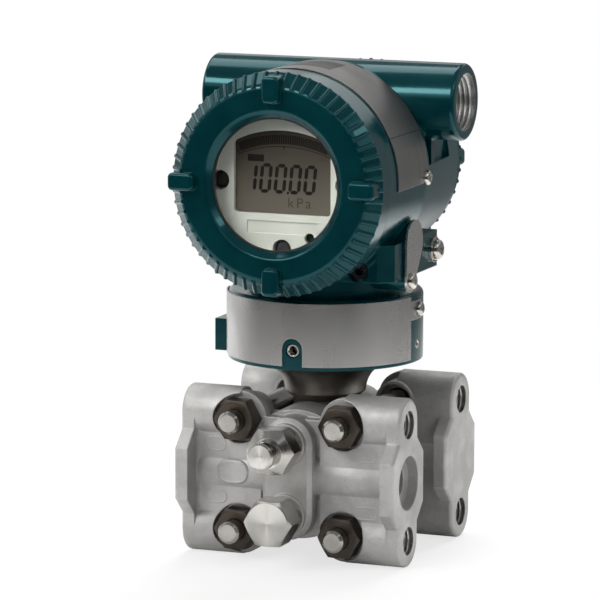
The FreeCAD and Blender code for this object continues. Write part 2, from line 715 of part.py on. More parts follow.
def flange(label, turn, direction, tapped_side, has_port):
    body = new_body(label, (0, FLANGE_Y * direction, FLANGE_Z), turn)
    reach = {tapped_side: D.tapped_reach, -tapped_side: D.plain_reach}
    inner_left = D.end_depth - reach[-1]
    inner_right = reach[1] - D.end_depth
    corners = [(i, j) for i in (-1, 1) for j in (-1, 1)]
    block(body, ADD, (inner_left, -TAP_Y, -D.lobe_r), (inner_right, TAP_Y, D.mid_front))
    block(body, ADD, (D.mid_half, -TAP_Y, 0), (inner_right, TAP_Y, D.web_front))
    block(body, ADD, (inner_left, -TAP_Y, 0), (-D.mid_half, TAP_Y, D.web_front))
    for side in (-1, 1):
        end_plate(body, side, reach[side])
    ends = (-reach[-1].value, reach[1].value)
    rounded(body, D.flange_round, lambda edge: on_end_face(edge, ends))
    for side, inner in ((-1, inner_left), (1, inner_right)):
        cast_cove(body, side, inner)
    rod(body, ADD, D.seat_r, D.block_half, (0, 0, -D.block_half))
    for start, end in ((inner_left, -D.pad_r), (D.pad_r, inner_right)):
        rod(body, ADD, D.rib_r, end - start, (start, 0, -D.rib_back), "+X")
    for i, j in corners:
        at_bolt = (BOLT_XY * i, BOLT_XY * j)
        rod(body, ADD, D.bolt_boss_r, D.bolt_seat, (*at_bolt, 0))
        rod(body, ADD, D.relief_r + D.relief_wall, D.lobe_r, (*at_bolt, -D.lobe_r))
    pad_low = D.pad_front - D.pad_bevel
    for j in (-1, 1):
        rod(body, ADD, D.pad_r, pad_low, (0, PLUG_Y * j, 0))
        cone(body, ADD, D.pad_r, D.pad_r - D.pad_bevel, D.pad_bevel, (0, PLUG_Y * j, pad_low))
    raised(body, ADD, [
        (-D.pad_r, 0),
        (D.pad_r, 0),
        (D.pad_r, pad_low),
        (D.pad_r - D.pad_bevel, D.pad_front),
        (D.pad_bevel - D.pad_r, D.pad_front),
        (-D.pad_r, pad_low),
    ], "XZ_Plane", -PLUG_Y, D.plug_pitch)
    plug_rows = (-1, 1) if has_port else (1,)
    for j in plug_rows:
        rod(body, ADD, D.spot_boss_r, D.spot_boss_front, (0, PLUG_Y * j, 0))
    for i, j in corners:
        at_bolt = (BOLT_XY * i, BOLT_XY * j)
        rod(body, CUT, D.bolt_seat_r, D.block_half, (*at_bolt, D.bolt_seat))
        rod(body, CUT, D.bolt_hole_r, D.block_half * 2, (*at_bolt, -D.block_half))
        rod(body, CUT, D.relief_r, D.relief_depth, (*at_bolt, -D.lobe_r))
    face = D.tapped_reach * tapped_side
    inward = "-X" if tapped_side > 0 else "+X"
    for j in (-1, 1):
        rod(body, CUT, D.tap_r, D.tap_depth, (face, TAP_Y * j, 0), inward)
    rod(body, CUT, D.chamber_r, D.chamber_depth, (0, 0, -D.block_half))
    ring(body, CUT, D.gasket_in, D.gasket_out, -D.block_half - PAST, D.gasket_depth - D.block_half)
    if has_port:
        rod(body, CUT, D.port_recess_r, D.port_recess_depth, (face, 0, 0), inward)
        rod(body, CUT, D.port_r, D.port_depth, (face, 0, 0), inward)
        rod(body, CUT, D.passage_r - D.fit_gap, D.tapped_reach - D.passage_x, (face, 0, 0), inward)
        rod(body, CUT, D.passage_r, D.block_half + D.passage_r, (D.passage_x, 0, -D.block_half))
    for j in plug_rows:
        depth = D.plug_thread + D.hole_spare
        rod(body, CUT, D.plug_hole_r, depth, (0, PLUG_Y * j, D.spot_boss_front - depth))
        rod(body, CUT, D.passage_r, D.block_half * 2, (0, PLUG_Y * j, -D.block_half))
    return body


flange("front_flange", TO_FRONT, -1, 1, True)
flange("rear_flange", TO_BACK, 1, -1, False)


# Capsule with neck and swivel spigot, diaphragms, gaskets and sensor

def capsule():
    body = new_body("capsule")
    rod(body, ADD, D.seat_r, CAPSULE_HALF * 2, (0, -CAPSULE_HALF, FLANGE_Z), "+Y")
    shoulder_top = D.ring_low - D.face_gap
    groove = D.swivel_seal_r + D.seal_slack
    groove_r = D.spigot_r - D.swivel_seal_r * 2 - D.run_gap / 2
    root_r = CAPSULE_HALF - D.fit_gap
    turned(body, ADD, [
        (0, FLANGE_Z),
        (root_r, FLANGE_Z),
        (root_r, FLANGE_Z + D.seat_r + D.face_gap),
        (D.neck_r, D.neck_start, -D.flare_r),
        (D.shoulder_r, D.shoulder_z),
        (D.shoulder_r, shoulder_top),
        (D.spigot_r, shoulder_top),
        (D.spigot_r, D.swivel_seal_z - groove),
        (groove_r, D.swivel_seal_z - groove),
        (groove_r, D.swivel_seal_z + groove),
        (D.spigot_r, D.swivel_seal_z + groove),
        (D.spigot_r, D.spigot_top),
        (D.cell_bay_r, D.spigot_top),
        (D.cell_bay_r, D.cell_bay_z),
        (0, D.cell_bay_z),
    ])
    ledge = D.foil_ledge
    hollow_r = D.foil_r - D.foil_land
    for side, into in ((-1, "+Y"), (1, "-Y")):
        rod(body, CUT, D.foil_r + D.fit_gap, ledge, (0, CAPSULE_HALF * side, FLANGE_Z), into)
        rod(body, CUT, hollow_r, ledge * 2, (0, CAPSULE_HALF * side, FLANGE_Z), into)


def diaphragm(label, direction, turn):
    """Thin corrugated disc. Local Z points out of the capsule face."""
    body = new_body(label, (0, CAPSULE_HALF * direction, FLANGE_Z), turn)
    low = -D.foil_ledge
    inner_r = D.foil_r - D.foil_land
    crests = 2 * int(D.foil_waves.value)
    under = [(D.foil_r, low), (inner_r, low)]
    for step in range(crests):
        rise = D.foil_wave if step % 2 == 0 else -D.foil_wave
        under.append((inner_r * (1 - (step + 1) / (crests + 1)), low + rise))
    under.append((0, low))
    over = [(r, z + D.foil_depth) for r, z in reversed(under)]
    turned(body, ADD, under + over)


def capsule_gasket(label, direction, turn):
    body = new_body(label, (0, CAPSULE_HALF * direction, FLANGE_Z), turn)
    ring(body, ADD, D.gasket_in + D.fit_gap, D.gasket_out - D.fit_gap, 0, D.gasket_depth)


capsule()
for side_name, direction, turn in (("front", -1, TO_FRONT), ("rear", 1, TO_BACK)):
    diaphragm(side_name + "_diaphragm", direction, turn)
    capsule_gasket(side_name + "_gasket", direction, turn)

cell = new_body("sensor_cell", (0, 0, D.cell_bay_z))
rod(cell, ADD, D.cell_r, D.cell_h, (0, 0, 0))
header = new_body("sensor_header", (0, 0, D.cell_bay_z + D.cell_h))
block(header, ADD, (-D.header_w / 2, -D.header_d / 2, 0), (D.header_w / 2, D.header_d / 2, D.header_h))

swivel_seal = new_body("swivel_seal", (0, 0, D.swivel_seal_z))
torus(swivel_seal, ADD, D.spigot_r - D.swivel_seal_r + D.run_gap / 2, D.swivel_seal_r, (0, 0, 0))


# Flange bolts with their heads behind, nuts in front

def flange_bolt(name, x, z):
    seat = FLANGE_Y + D.bolt_seat
    body = new_body(name, (x, seat, z), TURNS["-Y"])
    hexagon(body, ADD, D.nut_across, D.head_height, (0, 0, -D.head_height))
    straight = seat * 2 + D.nut_height + D.bolt_over - D.bolt_tip
    rod(body, ADD, D.bolt_r, straight, (0, 0, 0))
    cone(body, ADD, D.bolt_r, D.bolt_r - D.bolt_tip, D.bolt_tip, (0, 0, straight))
    return body


def flange_nut(name, x, z):
    body = new_body(name, (x, -FLANGE_Y - D.bolt_seat, z), TURNS["-Y"])
    hexagon(body, ADD, D.nut_across, D.nut_height, (0, 0, 0))
    hexagon_bevel(body, D.nut_across, D.nut_height, D.nut_bevel)
    rod(body, CUT, D.bolt_r + D.fit_gap, D.nut_height, (0, 0, 0))
    return body


corner_spots = [(BOLT_XY * i, FLANGE_Z + BOLT_XY * j) for j in (-1, 1) for i in (-1, 1)]
group("flange_bolts", [flange_bolt(f"bolt_{n}", x, z) for n, (x, z) in enumerate(corner_spots)])
group("flange_nuts", [flange_nut(f"nut_{n}", x, z) for n, (x, z) in enumerate(corner_spots)])


# Vent and drain plugs. Local Z points to the front, from the plug seat.

PLUG_SEAT_Y = -FLANGE_Y - D.spot_boss_front
HEX_FRONT = D.plug_collar + D.plug_hex


def plug_blank(label, z):
    body = new_body(label, (0, PLUG_SEAT_Y, z), TO_FRONT)
    rod(body, ADD, D.plug_hole_r - D.fit_gap, D.plug_thread, (0, 0, -D.plug_thread))
    rod(body, ADD, D.plug_collar_r, D.plug_collar, (0, 0, 0))
    hexagon(body, ADD, D.plug_across, D.plug_hex, (0, 0, D.plug_collar))
    hexagon_bevel(body, D.plug_across, HEX_FRONT, D.plug_bevel)
    return body


vent = plug_blank("vent_plug", FLANGE_Z + PLUG_Y)
rod(vent, CUT, D.needle_r + D.run_gap, HEX_FRONT + D.plug_thread, (0, 0, -D.plug_thread))
vent_corner = D.plug_across * HEX_CORNER + PAST
turned(vent, CUT, [
    (D.vent_land_r, HEX_FRONT + NEAR),
    (vent_corner, HEX_FRONT + NEAR),
    (vent_corner, HEX_FRONT - D.vent_slope),
])
drain = plug_blank("drain_plug", FLANGE_Z - PLUG_Y)

NEEDLE_GRIP = D.knob_len / 2
knob = new_body("vent_screw", (0, PLUG_SEAT_Y, FLANGE_Z + PLUG_Y), TO_FRONT)
knob_back = HEX_FRONT + D.face_gap
cone_start = knob_back + D.knob_neck
knob_front = knob_back + D.knob_len
turned(knob, ADD, [
    (0, knob_back),
    (D.knob_neck_r, knob_back),
    (D.knob_neck_r, cone_start),
    (D.knob_r, cone_start + D.knob_cone),
    (D.knob_r, knob_front - D.knob_edge),
    (D.knob_r - D.knob_edge, knob_front),
    (0, knob_front),
])
rod(knob, CUT, D.needle_r + D.run_gap, NEEDLE_GRIP, (0, 0, knob_back))
needle = new_body("vent_needle", (0, PLUG_SEAT_Y, FLANGE_Z + PLUG_Y), TO_FRONT)
turned(needle, ADD, [
    (0, -D.plug_thread),
    (D.needle_r, D.needle_point - D.plug_thread),
    (D.needle_r, HEX_FRONT + NEEDLE_GRIP),
    (0, HEX_FRONT + NEEDLE_GRIP),
])

breather = new_body("breather_plug", (0, FLANGE_Y + D.spot_boss_front, FLANGE_Z + PLUG_Y), TO_BACK)
rod(breather, ADD, D.plug_hole_r - D.fit_gap, D.plug_thread, (0, 0, -D.plug_thread))
rod(breather, ADD, D.breather_r, D.breather_len, (0, 0, 0))
rod(breather, CUT, D.passage_r, D.plug_thread + D.breather_len / 2, (0, 0, -D.plug_thread))
rod(breather, CUT, D.passage_r / 2, D.breather_r * 2, (-D.breather_r, 0, D.breather_len / 2), "+X")


# Housing casting

def teardrop(body, op, inset, start, length):
    """Outline of the zero cover, drawn inset, along X from start. Local Y is to the back."""
    wide_r = D.zero_end_r - inset
    narrow_r = D.pivot_end_r - inset
    run_y = D.pivot_y.value - D.zero_y.value
    run_z = D.zero_z.value - D.pivot_z.value
    span = math.hypot(run_y, run_z)
    lean = (D.pivot_end_r.value - D.zero_end_r.value) / span
    across = math.sqrt(1 - lean ** 2)
    normal_y = (run_z * across + run_y * lean) / span
    normal_z = (run_z * lean - run_y * across) / span
    raised(body, op, [
        (-D.pivot_y - narrow_r, D.pivot_z),
        (-D.pivot_y + narrow_r * normal_y, D.pivot_z + narrow_r * normal_z),
        (-D.zero_y + wide_r * normal_y, D.zero_z + wide_r * normal_z),
        (-D.zero_y - wide_r, D.zero_z),
    ], "YZ_Plane", start, length)
    rod(body, op, wide_r, length, (start, -D.zero_y, D.zero_z), "+X")
    rod(body, op, narrow_r, length, (start, -D.pivot_y, D.pivot_z), "+X")


def is_circle(edge, radius, x):
    box = edge.BoundBox
    return box.XLength < NEAR and abs(abs(box.XMin) - x) < NEAR and abs(box.YLength - 2 * radius) < 10 * NEAR


def bay(body, rim, depth, into, inset):
    """Round bay with cover thread and seal counterbore, from the rim inward along Y."""
    rod(body, CUT, D.bay_r - inset, depth, (0, rim, D.body_z), into)
    rod(body, CUT, D.thread_r - inset, D.thread_len, (0, rim, D.body_z), into)
    rod(body, CUT, D.seal_bore_r - inset, D.seal_bore, (0, rim, D.body_z), into)


def housing():
    body = new_body("housing")
    turned(body, ADD, [
        (0, D.ring_low),
        (D.ring_r, D.ring_low),
        (D.ring_r, D.ring_top - D.ring_round, D.ring_round),
        (D.ring_r - D.ring_round, D.ring_top),
        (D.foot_r + D.foot_round, D.ring_top, -D.foot_round),
        (D.foot_r, D.ring_top + D.foot_round),
        (D.foot_r, D.ped_low + PAST),
        (0, D.ped_low + PAST),
    ])
    raised(body, ADD, [
        (-D.ped_left, -D.ped_front),
        (D.ped_right - D.ped_corner, -D.ped_front),
        (D.ped_right, D.ped_corner - D.ped_front),
        (D.ped_right, D.ped_back),
        (-D.ped_left, D.ped_back),
    ], "XY_Plane", D.ped_low, D.ped_top - D.ped_low)
    block(body, ADD, (-D.lug_reach, -D.lug_half, D.ring_low), (-D.foot_r, D.lug_half, D.lug_top))
    rod(body, ADD, D.body_r, D.body_front - D.taper_start, (0, -D.body_front, D.body_z), "+Y")
    cone(body, ADD, D.body_r, D.body_back_r, D.taper_start + D.body_back,
         (0, -D.taper_start, D.body_z), "+Y")
    teardrop(body, ADD, D.zero_rim, D.zero_face - D.boss_root, D.boss_root)
    outside = D.body_r + PAST
    for low_x, high_x in ((D.recess_floor, outside), (-outside, -D.recess_floor)):
        block(body, CUT, (low_x, D.recess_front, D.recess_low), (high_x, D.recess_back, D.recess_top))
    for low_x, high_x in ((D.bay_r, D.stay_out), (-D.stay_out, -D.bay_r)):
        block(body, ADD, (low_x, D.stay_front, D.recess_low - PAST), (high_x, D.stay_back, D.recess_top))
    rod(body, ADD, D.barrel_r, D.barrel_half * 2, (-D.barrel_half, D.barrel_y, D.barrel_z), "+X")
    rounded(body, D.barrel_round, lambda e: is_circle(e, D.barrel_r.value, D.barrel_half.value))

    bay(body, -D.body_front, D.body_front - D.front_bay_end, "+Y", 0)
    bay(body, D.body_back, D.body_back - D.rear_bay_end, "-Y", D.rear_inset)
    for side, into in ((1, "-X"), (-1, "+X")):
        rod(body, CUT, D.conduit_r, D.conduit_len, (D.barrel_half * side, D.barrel_y, D.barrel_z), into)
    rod(body, CUT, D.conduit_bore_r, D.barrel_half * 2, (-D.barrel_half, D.barrel_y, D.barrel_z), "+X")
    rod(body, CUT, D.spigot_r + D.run_gap, D.cavity_low - D.ring_low, (0, 0, D.ring_low))
    rod(body, CUT, D.cavity_r, D.cavity_top - D.cavity_low, (0, 0, D.cavity_low))
    block(body, CUT, (-D.slot_half, -D.slot_front, D.cavity_top - D.slot_lap),
          (D.slot_half, -D.slot_back, D.body_z - D.bay_r + D.slot_lap))

    # Screw holes
    hole_r = D.screw_r + D.fit_gap
    hole_depth = D.screw_len + D.hole_spare
    for side, into in ((1, "-X"), (-1, "+X")):
        rod(body, CUT, hole_r, hole_depth, (D.body_r * side, -D.name_screw_y, D.name_screw_z), into)
        rod(body, CUT, hole_r, hole_depth, (D.ring_r * side, 0, D.data_screw_z), into)
    rod(body, CUT, hole_r, hole_depth, (D.ring_r, 0, D.spare_hole_z), "-X")
    rod(body, CUT, D.set_screw_r + D.fit_gap, D.ring_r, (D.notch_x, -D.ring_r, D.set_screw_z), "+Y")
    rod(body, CUT, D.set_screw_r + D.fit_gap, D.ring_r, (-D.notch_x, D.ring_r, D.set_screw_z), "-Y")
    rod(body, CUT, D.lock_well_r, D.lock_well, (D.lock_x, -D.ped_front, D.lock_z), "+Y")
    rod(body, CUT, D.lock_r + D.fit_gap, D.lock_len + D.lock_well,
        (D.lock_x, -D.ped_front, D.lock_z), "+Y")
    rod(body, CUT, D.ground_r + D.fit_gap, D.ground_len, (D.ped_right, D.ground_y, D.ground_z), "-X")
    rod(body, CUT, D.zero_screw_r + D.run_gap, D.zero_screw_len + D.hole_spare,
        (D.zero_face, -D.zero_y, D.zero_z), "-X")
    rod(body, CUT, D.pivot_r + D.fit_gap, D.pivot_len, (D.zero_face, -D.pivot_y, D.pivot_z), "-X")


housing()


# Covers. Local Z points out of the housing, from the plane of the cover's rim.

FACE_Z = D.cover_rim + D.bevel_depth
REAR_FACE_Z = D.rear_cover_rim + D.bevel_depth


def is_face_ring(edge, radius, z):
    """True for a whole circle of that radius about the body's axis, at that height."""
    if not isinstance(edge.Curve, Part.Circle):
        return False
    return abs(edge.Curve.Radius - radius.value) < NEAR and abs(edge.Curve.Center.z - z.value) < NEAR


def cover_grip(body, inset, rim, face, count):
    """Ribs on the bevel and four lugs over the face, drawn in by the inset."""
    radius = D.cover_r - inset
    lug_in = D.lug_in - inset
    lug_out = D.lug_out - inset
    run = D.cover_r - D.bevel_r
    tilt = math.degrees(math.atan2(-run.value, D.bevel_depth.value))
    reach = math.hypot(run.value, D.bevel_depth.value)
    grip = rod(body, ADD, D.grip_r, reach, (radius - D.grip_sink, 0, rim - D.grip_sink))
    grip.Placement.Rotation = FreeCAD.Rotation(Y_AXIS, tilt)
    polar(body, [grip], int(count.value))
    half = D.lug_width / 2
    corner = D.lug_corner
    lug = raised(body, ADD, [
        (lug_in + corner, -half),
        (lug_out - corner, -half, corner),
        (lug_out, corner - half),
        (lug_out, half - corner, corner),
        (lug_out - corner, half),
        (lug_in + corner, half, corner),
        (lug_in, half - corner),
        (lug_in, corner - half, corner),
    ], "XY_Plane", rim - D.lug_root, face - rim + D.lug_root + D.lug_rise)
    polar(body, [lug], 4)
    top = (face + D.lug_rise).value
    rounded(body, D.lug_edge, lambda e: abs(e.BoundBox.ZMin - top) < NEAR and e.BoundBox.ZLength < NEAR)


def skirt(inner_floor, inset):
    """Outline points of the threaded skirt, from its bore down, out and up to the rim plane."""
    bore = D.skirt_bore - inset
    thread = D.skirt_r - inset
    neck = D.seal_neck_r - inset
    return [
        (bore, inner_floor),
        (bore, -D.skirt_len),
        (thread, -D.skirt_len),
        (thread, -D.seal_len),
        (neck, -D.seal_len),
        (neck, 0),
    ]


SEAL_Z = -D.face_gap - D.seal_r

front_cover = new_body("front_cover", (0, -D.body_front - D.face_gap, D.body_z), TO_FRONT)
turned(front_cover, ADD, skirt(D.pocket_low, 0) + [
    (D.cover_r, 0),
    (D.cover_r, D.cover_rim),
    (D.bevel_r, FACE_Z),
    (D.window_out, FACE_Z),
    (D.window_r, FACE_Z - D.lip_depth + D.lip_edge),
    (D.window_r, FACE_Z - D.lip_depth),
    (D.pocket_r, FACE_Z - D.lip_depth),
    (D.pocket_r, D.pocket_low),
])
rounded(front_cover, D.face_round, lambda edge: is_face_ring(edge, D.bevel_r, FACE_Z))
rounded(front_cover, D.window_round, lambda edge: is_face_ring(edge, D.window_out, FACE_Z))
cover_grip(front_cover, 0, D.cover_rim, FACE_Z, D.rib_count)

GASKET_Z = FACE_Z - D.lip_depth - D.gasket_thin
GLASS_Z = GASKET_Z - D.glass_depth
window_edge = D.pocket_r - D.fit_gap
cover_spot = (0, -D.body_front - D.face_gap, D.body_z)
window_gasket = new_body("window_gasket", cover_spot, TO_FRONT)
ring(window_gasket, ADD, D.window_r - D.gasket_show, window_edge, GASKET_Z, FACE_Z - D.lip_depth)
glass = new_body("window_glass", cover_spot, TO_FRONT)
rod(glass, ADD, window_edge, D.glass_depth, (0, 0, GLASS_Z))
retainer = new_body("window_retainer", cover_spot, TO_FRONT)
ring(retainer, ADD, D.retainer_in, window_edge, GLASS_Z - D.retainer_h, GLASS_Z)
front_seal = new_body("front_cover_seal", cover_spot, TO_FRONT)
torus(front_seal, ADD, D.seal_mid_r, D.seal_r, (0, 0, SEAL_Z))

rear_spot = (0, D.body_back + D.face_gap, D.body_z)
rear_cover = new_body("rear_cover", rear_spot, TO_BACK)
rear_floor = REAR_FACE_Z - D.crown
turned(rear_cover, ADD, [(0, rear_floor)] + skirt(rear_floor, D.rear_inset) + [
    (D.rear_cover_r, 0),
    (D.rear_cover_r, D.rear_cover_rim),
    (D.bevel_r - D.rear_inset, REAR_FACE_Z),
    (0, REAR_FACE_Z),
])
rounded(rear_cover, D.face_round, lambda edge: is_face_ring(edge, D.bevel_r - D.rear_inset, REAR_FACE_Z))
cover_grip(rear_cover, D.rear_inset, D.rear_cover_rim, REAR_FACE_Z, D.rear_rib_count)
rear_seal = new_body("rear_cover_seal", rear_spot, TO_BACK)
torus(rear_seal, ADD, D.seal_mid_r - D.rear_inset, D.seal_r, (0, 0, SEAL_Z))


# Display and electronics. Local Z points to the front, local Y is up.

BEZEL_DEPTH = D.bezel_front - D.case_front
POSTS = [(-D.post_ring, 0), (D.post_ring, 0), (0, -D.post_ring)]
case_spot = (0, -D.case_front, D.body_z)
plate_low = BEZEL_DEPTH - D.bezel_depth


def is_lcd_corner(edge):
    """True for the four upright edges of the display window."""
    box = edge.BoundBox
    return box.XLength < NEAR and box.YLength < NEAR and abs(abs(box.XMin) - D.lcd_half.value) < NEAR


bezel = new_body("display_bezel", case_spot, TO_FRONT)
turned(bezel, ADD, [
    (0, plate_low),
    (D.bezel_r - D.bezel_wall, plate_low),
    (D.bezel_r - D.bezel_wall, 0),
    (D.bezel_r, 0),
    (D.bezel_r, BEZEL_DEPTH),
    (0, BEZEL_DEPTH),
])
for x, y in POSTS:
    rod(bezel, ADD, D.post_r, BEZEL_DEPTH - D.post_drop, (x, y, 0))
for x, y in POSTS:
    rod(bezel, CUT, D.post_hole_r, BEZEL_DEPTH, (x, y, D.post_floor))
    rod(bezel, CUT, D.screw_r + D.fit_gap, BEZEL_DEPTH, (x, y, 0))
raised(bezel, CUT, [
    (-D.lcd_half, -D.lcd_low),
    (D.lcd_half, -D.lcd_low),
    (D.lcd_half, D.lcd_side, D.lcd_arch),
    (-D.lcd_half, D.lcd_side),
], "XY_Plane", plate_low, D.bezel_depth)
rounded(bezel, D.lcd_corner, is_lcd_corner)
block(bezel, CUT, (-D.tag_half, -D.tag_low, BEZEL_DEPTH - D.tag_depth),
      (D.tag_half, -D.tag_top, BEZEL_DEPTH + PAST))
rod(bezel, CUT, D.pin_hole_r, D.bezel_depth, (D.pin_hole_x, -D.pin_hole_low, plate_low))

panel = new_body("lcd_panel", case_spot, TO_FRONT)
raised(panel, ADD, [
    (-D.panel_half, -D.panel_low),
    (D.panel_half, -D.panel_low),
    (D.panel_half, D.lcd_side),
    (D.panel_cut, D.panel_top),
    (-D.panel_cut, D.panel_top),
    (-D.panel_half, D.lcd_side),
], "XY_Plane", plate_low - D.panel_depth, D.panel_depth)

board = new_body("display_board", case_spot, TO_FRONT)
board_top = plate_low - D.panel_depth
rod(board, ADD, D.bezel_r - D.bezel_wall - D.fit_gap, D.board_depth, (0, 0, board_top - D.board_depth))
for x, y in POSTS:
    rod(board, CUT, D.post_r + D.fit_gap, BEZEL_DEPTH, (x, y, 0))

CASE_DEPTH = D.case_front - D.front_bay_end
STEP_DEPTH = D.case_front - D.case_step
case = new_body("amplifier_case", case_spot, TURNS["+Y"])
rod(case, ADD, D.case_r, CASE_DEPTH, (0, 0, 0))
rod(case, CUT, D.case_inner_r, CASE_DEPTH, (0, 0, D.case_wall))
rod(case, CUT, D.case_r - D.case_wall, CASE_DEPTH, (0, 0, STEP_DEPTH))
for x, y in POSTS:
    rod(case, CUT, D.screw_r + D.fit_gap, D.case_wall, (x, -y, 0))
amplifier = new_body("amplifier_board", case_spot, TURNS["+Y"])
rod(amplifier, ADD, D.case_r - D.case_wall - D.fit_gap, D.board_depth, (0, 0, STEP_DEPTH))

group("display_screws", [
    pan_screw(f"display_screw_{n}", (x, -D.case_front - D.post_floor, D.body_z + y), "-Y",
              D.post_hole_r - D.face_gap, D.screw_head_h, D.screw_r, D.post_floor + D.case_wall)
    for n, (x, y) in enumerate(POSTS)
])

ribbon = new_body("ribbon_cable")
ribbon_y = (D.slot_front + D.slot_back) / 2
ribbon_low = D.cell_bay_z + D.cell_h + D.header_h + D.face_gap
ribbon_top = D.body_z - D.case_r - D.face_gap
bend_start = D.cavity_top - D.bend_low
bend_end = D.cavity_top + D.bend_high
raised(ribbon, ADD, [
    (-D.ribbon_half, ribbon_low),
    (D.ribbon_half, ribbon_low),
    (D.ribbon_half, bend_start),
    (D.ribbon_half - ribbon_y, bend_end),
    (D.ribbon_half - ribbon_y, ribbon_top),
    (-D.ribbon_half - ribbon_y, ribbon_top),
    (-D.ribbon_half - ribbon_y, bend_end),
    (-D.ribbon_half, bend_start),
], "YZ_Plane", -D.header_d, D.header_d * 2)


# Terminals in the rear bay

terminals = new_body("terminal_block", (0, D.rear_bay_end, D.body_z))
block(terminals, ADD, (-D.term_half, 0, -D.term_low), (D.term_half, D.term_depth, D.term_top))
TERMINAL_Z = (D.term_top - D.term_low) / 2
terminal_spots = [D.term_pitch * n for n in (-1, 0, 1)]
for x in terminal_spots:
    rod(terminals, CUT, D.screw_r + D.fit_gap, D.screw_len + D.hole_spare, (x, D.term_depth, TERMINAL_Z), "-Y")
for x in (-D.term_pitch / 2, D.term_pitch / 2):
    block(terminals, CUT, (x - D.term_slot / 2, D.term_depth - D.term_slot_depth, -D.term_low),
          (x + D.term_slot / 2, D.term_depth, D.term_top))
group("terminal_screws", [
    pan_screw(f"terminal_screw_{n}", (x, D.rear_bay_end + D.term_depth, D.body_z + TERMINAL_Z), "+Y",
              D.term_head_r, D.term_head_h, D.screw_r, D.screw_len)
    for n, x in enumerate(terminal_spots)
])

blank = new_body("blanking_plug", (-D.barrel_half, D.barrel_y, D.barrel_z), TURNS["-X"])
rod(blank, ADD, D.conduit_r - D.fit_gap, D.blank_len, (0, 0, -D.blank_len - D.blank_sunk))
hexagon(blank, CUT, D.blank_across, D.blank_socket + PAST, (0, 0, -D.blank_socket - D.blank_sunk))


# Bands and their screws

name_band = new_body("name_band", (0, -D.name_back, D.body_z), TO_FRONT)
name_in = D.body_r + D.band_gap
name_out = name_in + D.band_depth
name_width = D.name_front - D.name_back
ring(name_band, ADD, name_in, name_out, 0, name_width)
name_past = name_out + PAST
block(name_band, CUT, (-name_past, -name_past, -PAST), (name_past, -D.name_drop, name_width + PAST))
rod(name_band, CUT, D.screw_r + D.face_gap, name_past * 2,
    (-name_past, -D.name_screw_drop, D.name_screw_y - D.name_back), "+X")
group("name_band_screws", [
    pan_screw(f"name_screw_{along}", (name_out * side, -D.name_screw_y, D.name_screw_z), along,
              D.screw_head_r, D.screw_head_h, D.screw_r, D.screw_len)
    for side, along in ((1, "+X"), (-1, "-X"))
])

data_band = new_body("data_band")
data_in = D.ring_r + D.band_gap
data_out = data_in + D.band_depth
beyond = data_out + PAST
ring(data_band, ADD, data_in, data_out, D.data_low, D.data_top)
block(data_band, CUT, (-beyond, D.tab_end, D.data_low - PAST), (beyond, beyond, D.data_top + PAST))
block(data_band, CUT, (-beyond, -D.data_end, D.data_low - PAST), (beyond, beyond, D.tab_low))
block(data_band, CUT, (-beyond, -D.data_end, D.tab_top), (beyond, beyond, D.data_top + PAST))
block(data_band, CUT, (D.notch_x - D.notch_half, -beyond, D.data_low - PAST),
      (D.notch_x + D.notch_half, 0, D.notch_arc_z))
rod(data_band, CUT, D.notch_half, beyond, (D.notch_x, -beyond, D.notch_arc_z), "+Y")
rod(data_band, CUT, D.screw_r + D.face_gap, beyond * 2, (-beyond, 0, D.data_screw_z), "+X")
group("data_band_screws", [
    pan_screw(f"data_screw_{along}", (data_out * side, 0, D.data_screw_z), along,
              D.screw_head_r, D.screw_head_h, D.screw_r, D.screw_len)
    for side, along in ((1, "+X"), (-1, "-X"))
])

SET_REACH = D.spigot_r + D.face_gap + D.set_screw_len
group("swivel_set_screws", [
    socket_screw("set_screw_front", (D.notch_x, -SET_REACH, D.set_screw_z), "-Y",
                 D.set_screw_r, D.set_screw_len, D.set_screw_r, D.socket_depth),
    socket_screw("set_screw_rear", (-D.notch_x, SET_REACH, D.set_screw_z), "+Y",
                 D.set_screw_r, D.set_screw_len, D.set_screw_r, D.socket_depth),
])
lock_face = D.lock_well - D.ped_front - D.lock_sunk
socket_screw("cover_lock_bolt", (D.lock_x, lock_face, D.lock_z), "-Y",
             D.lock_r, D.lock_len, D.lock_r, D.socket_depth)


# Earth terminal

washer = new_body("ground_washer", (D.ped_right, D.ground_y, D.ground_z), TURNS["+X"])
ring(washer, ADD, D.ground_r + D.fit_gap, D.washer_r, 0, D.washer_depth)
pan_screw("ground_screw", (D.ped_right + D.washer_depth, D.ground_y, D.ground_z), "+X",
          D.ground_head_r, D.ground_head_h, D.ground_r, D.ground_len)


# Zero adjuster under its swinging plate

plate_start = D.zero_face + D.fit_gap
zero_cover = new_body("zero_cover")
teardrop(zero_cover, ADD, size(0), plate_start, D.zero_plate)
rod(zero_cover, CUT, D.pivot_r + D.run_gap, D.zero_plate, (plate_start, -D.pivot_y, D.pivot_z), "+X")
pan_screw("zero_cover_screw", (plate_start + D.zero_plate + D.fit_gap, -D.pivot_y, D.pivot_z), "+X",
          D.pivot_head_r, D.pivot_head_h, D.pivot_r, D.pivot_len)
zero_screw = new_body("zero_screw", (D.zero_face - D.zero_sunk, -D.zero_y, D.zero_z), TURNS["+X"])
rod(zero_screw, ADD, D.zero_screw_r, D.zero_screw_len, (0, 0, -D.zero_screw_len))
slot_end = D.zero_screw_r + PAST
block(zero_screw, CUT, (-D.zero_slot / 2, -slot_end, -D.zero_slot_depth), (D.zero_slot / 2, slot_end, PAST))


# Recompute, check and write each piece

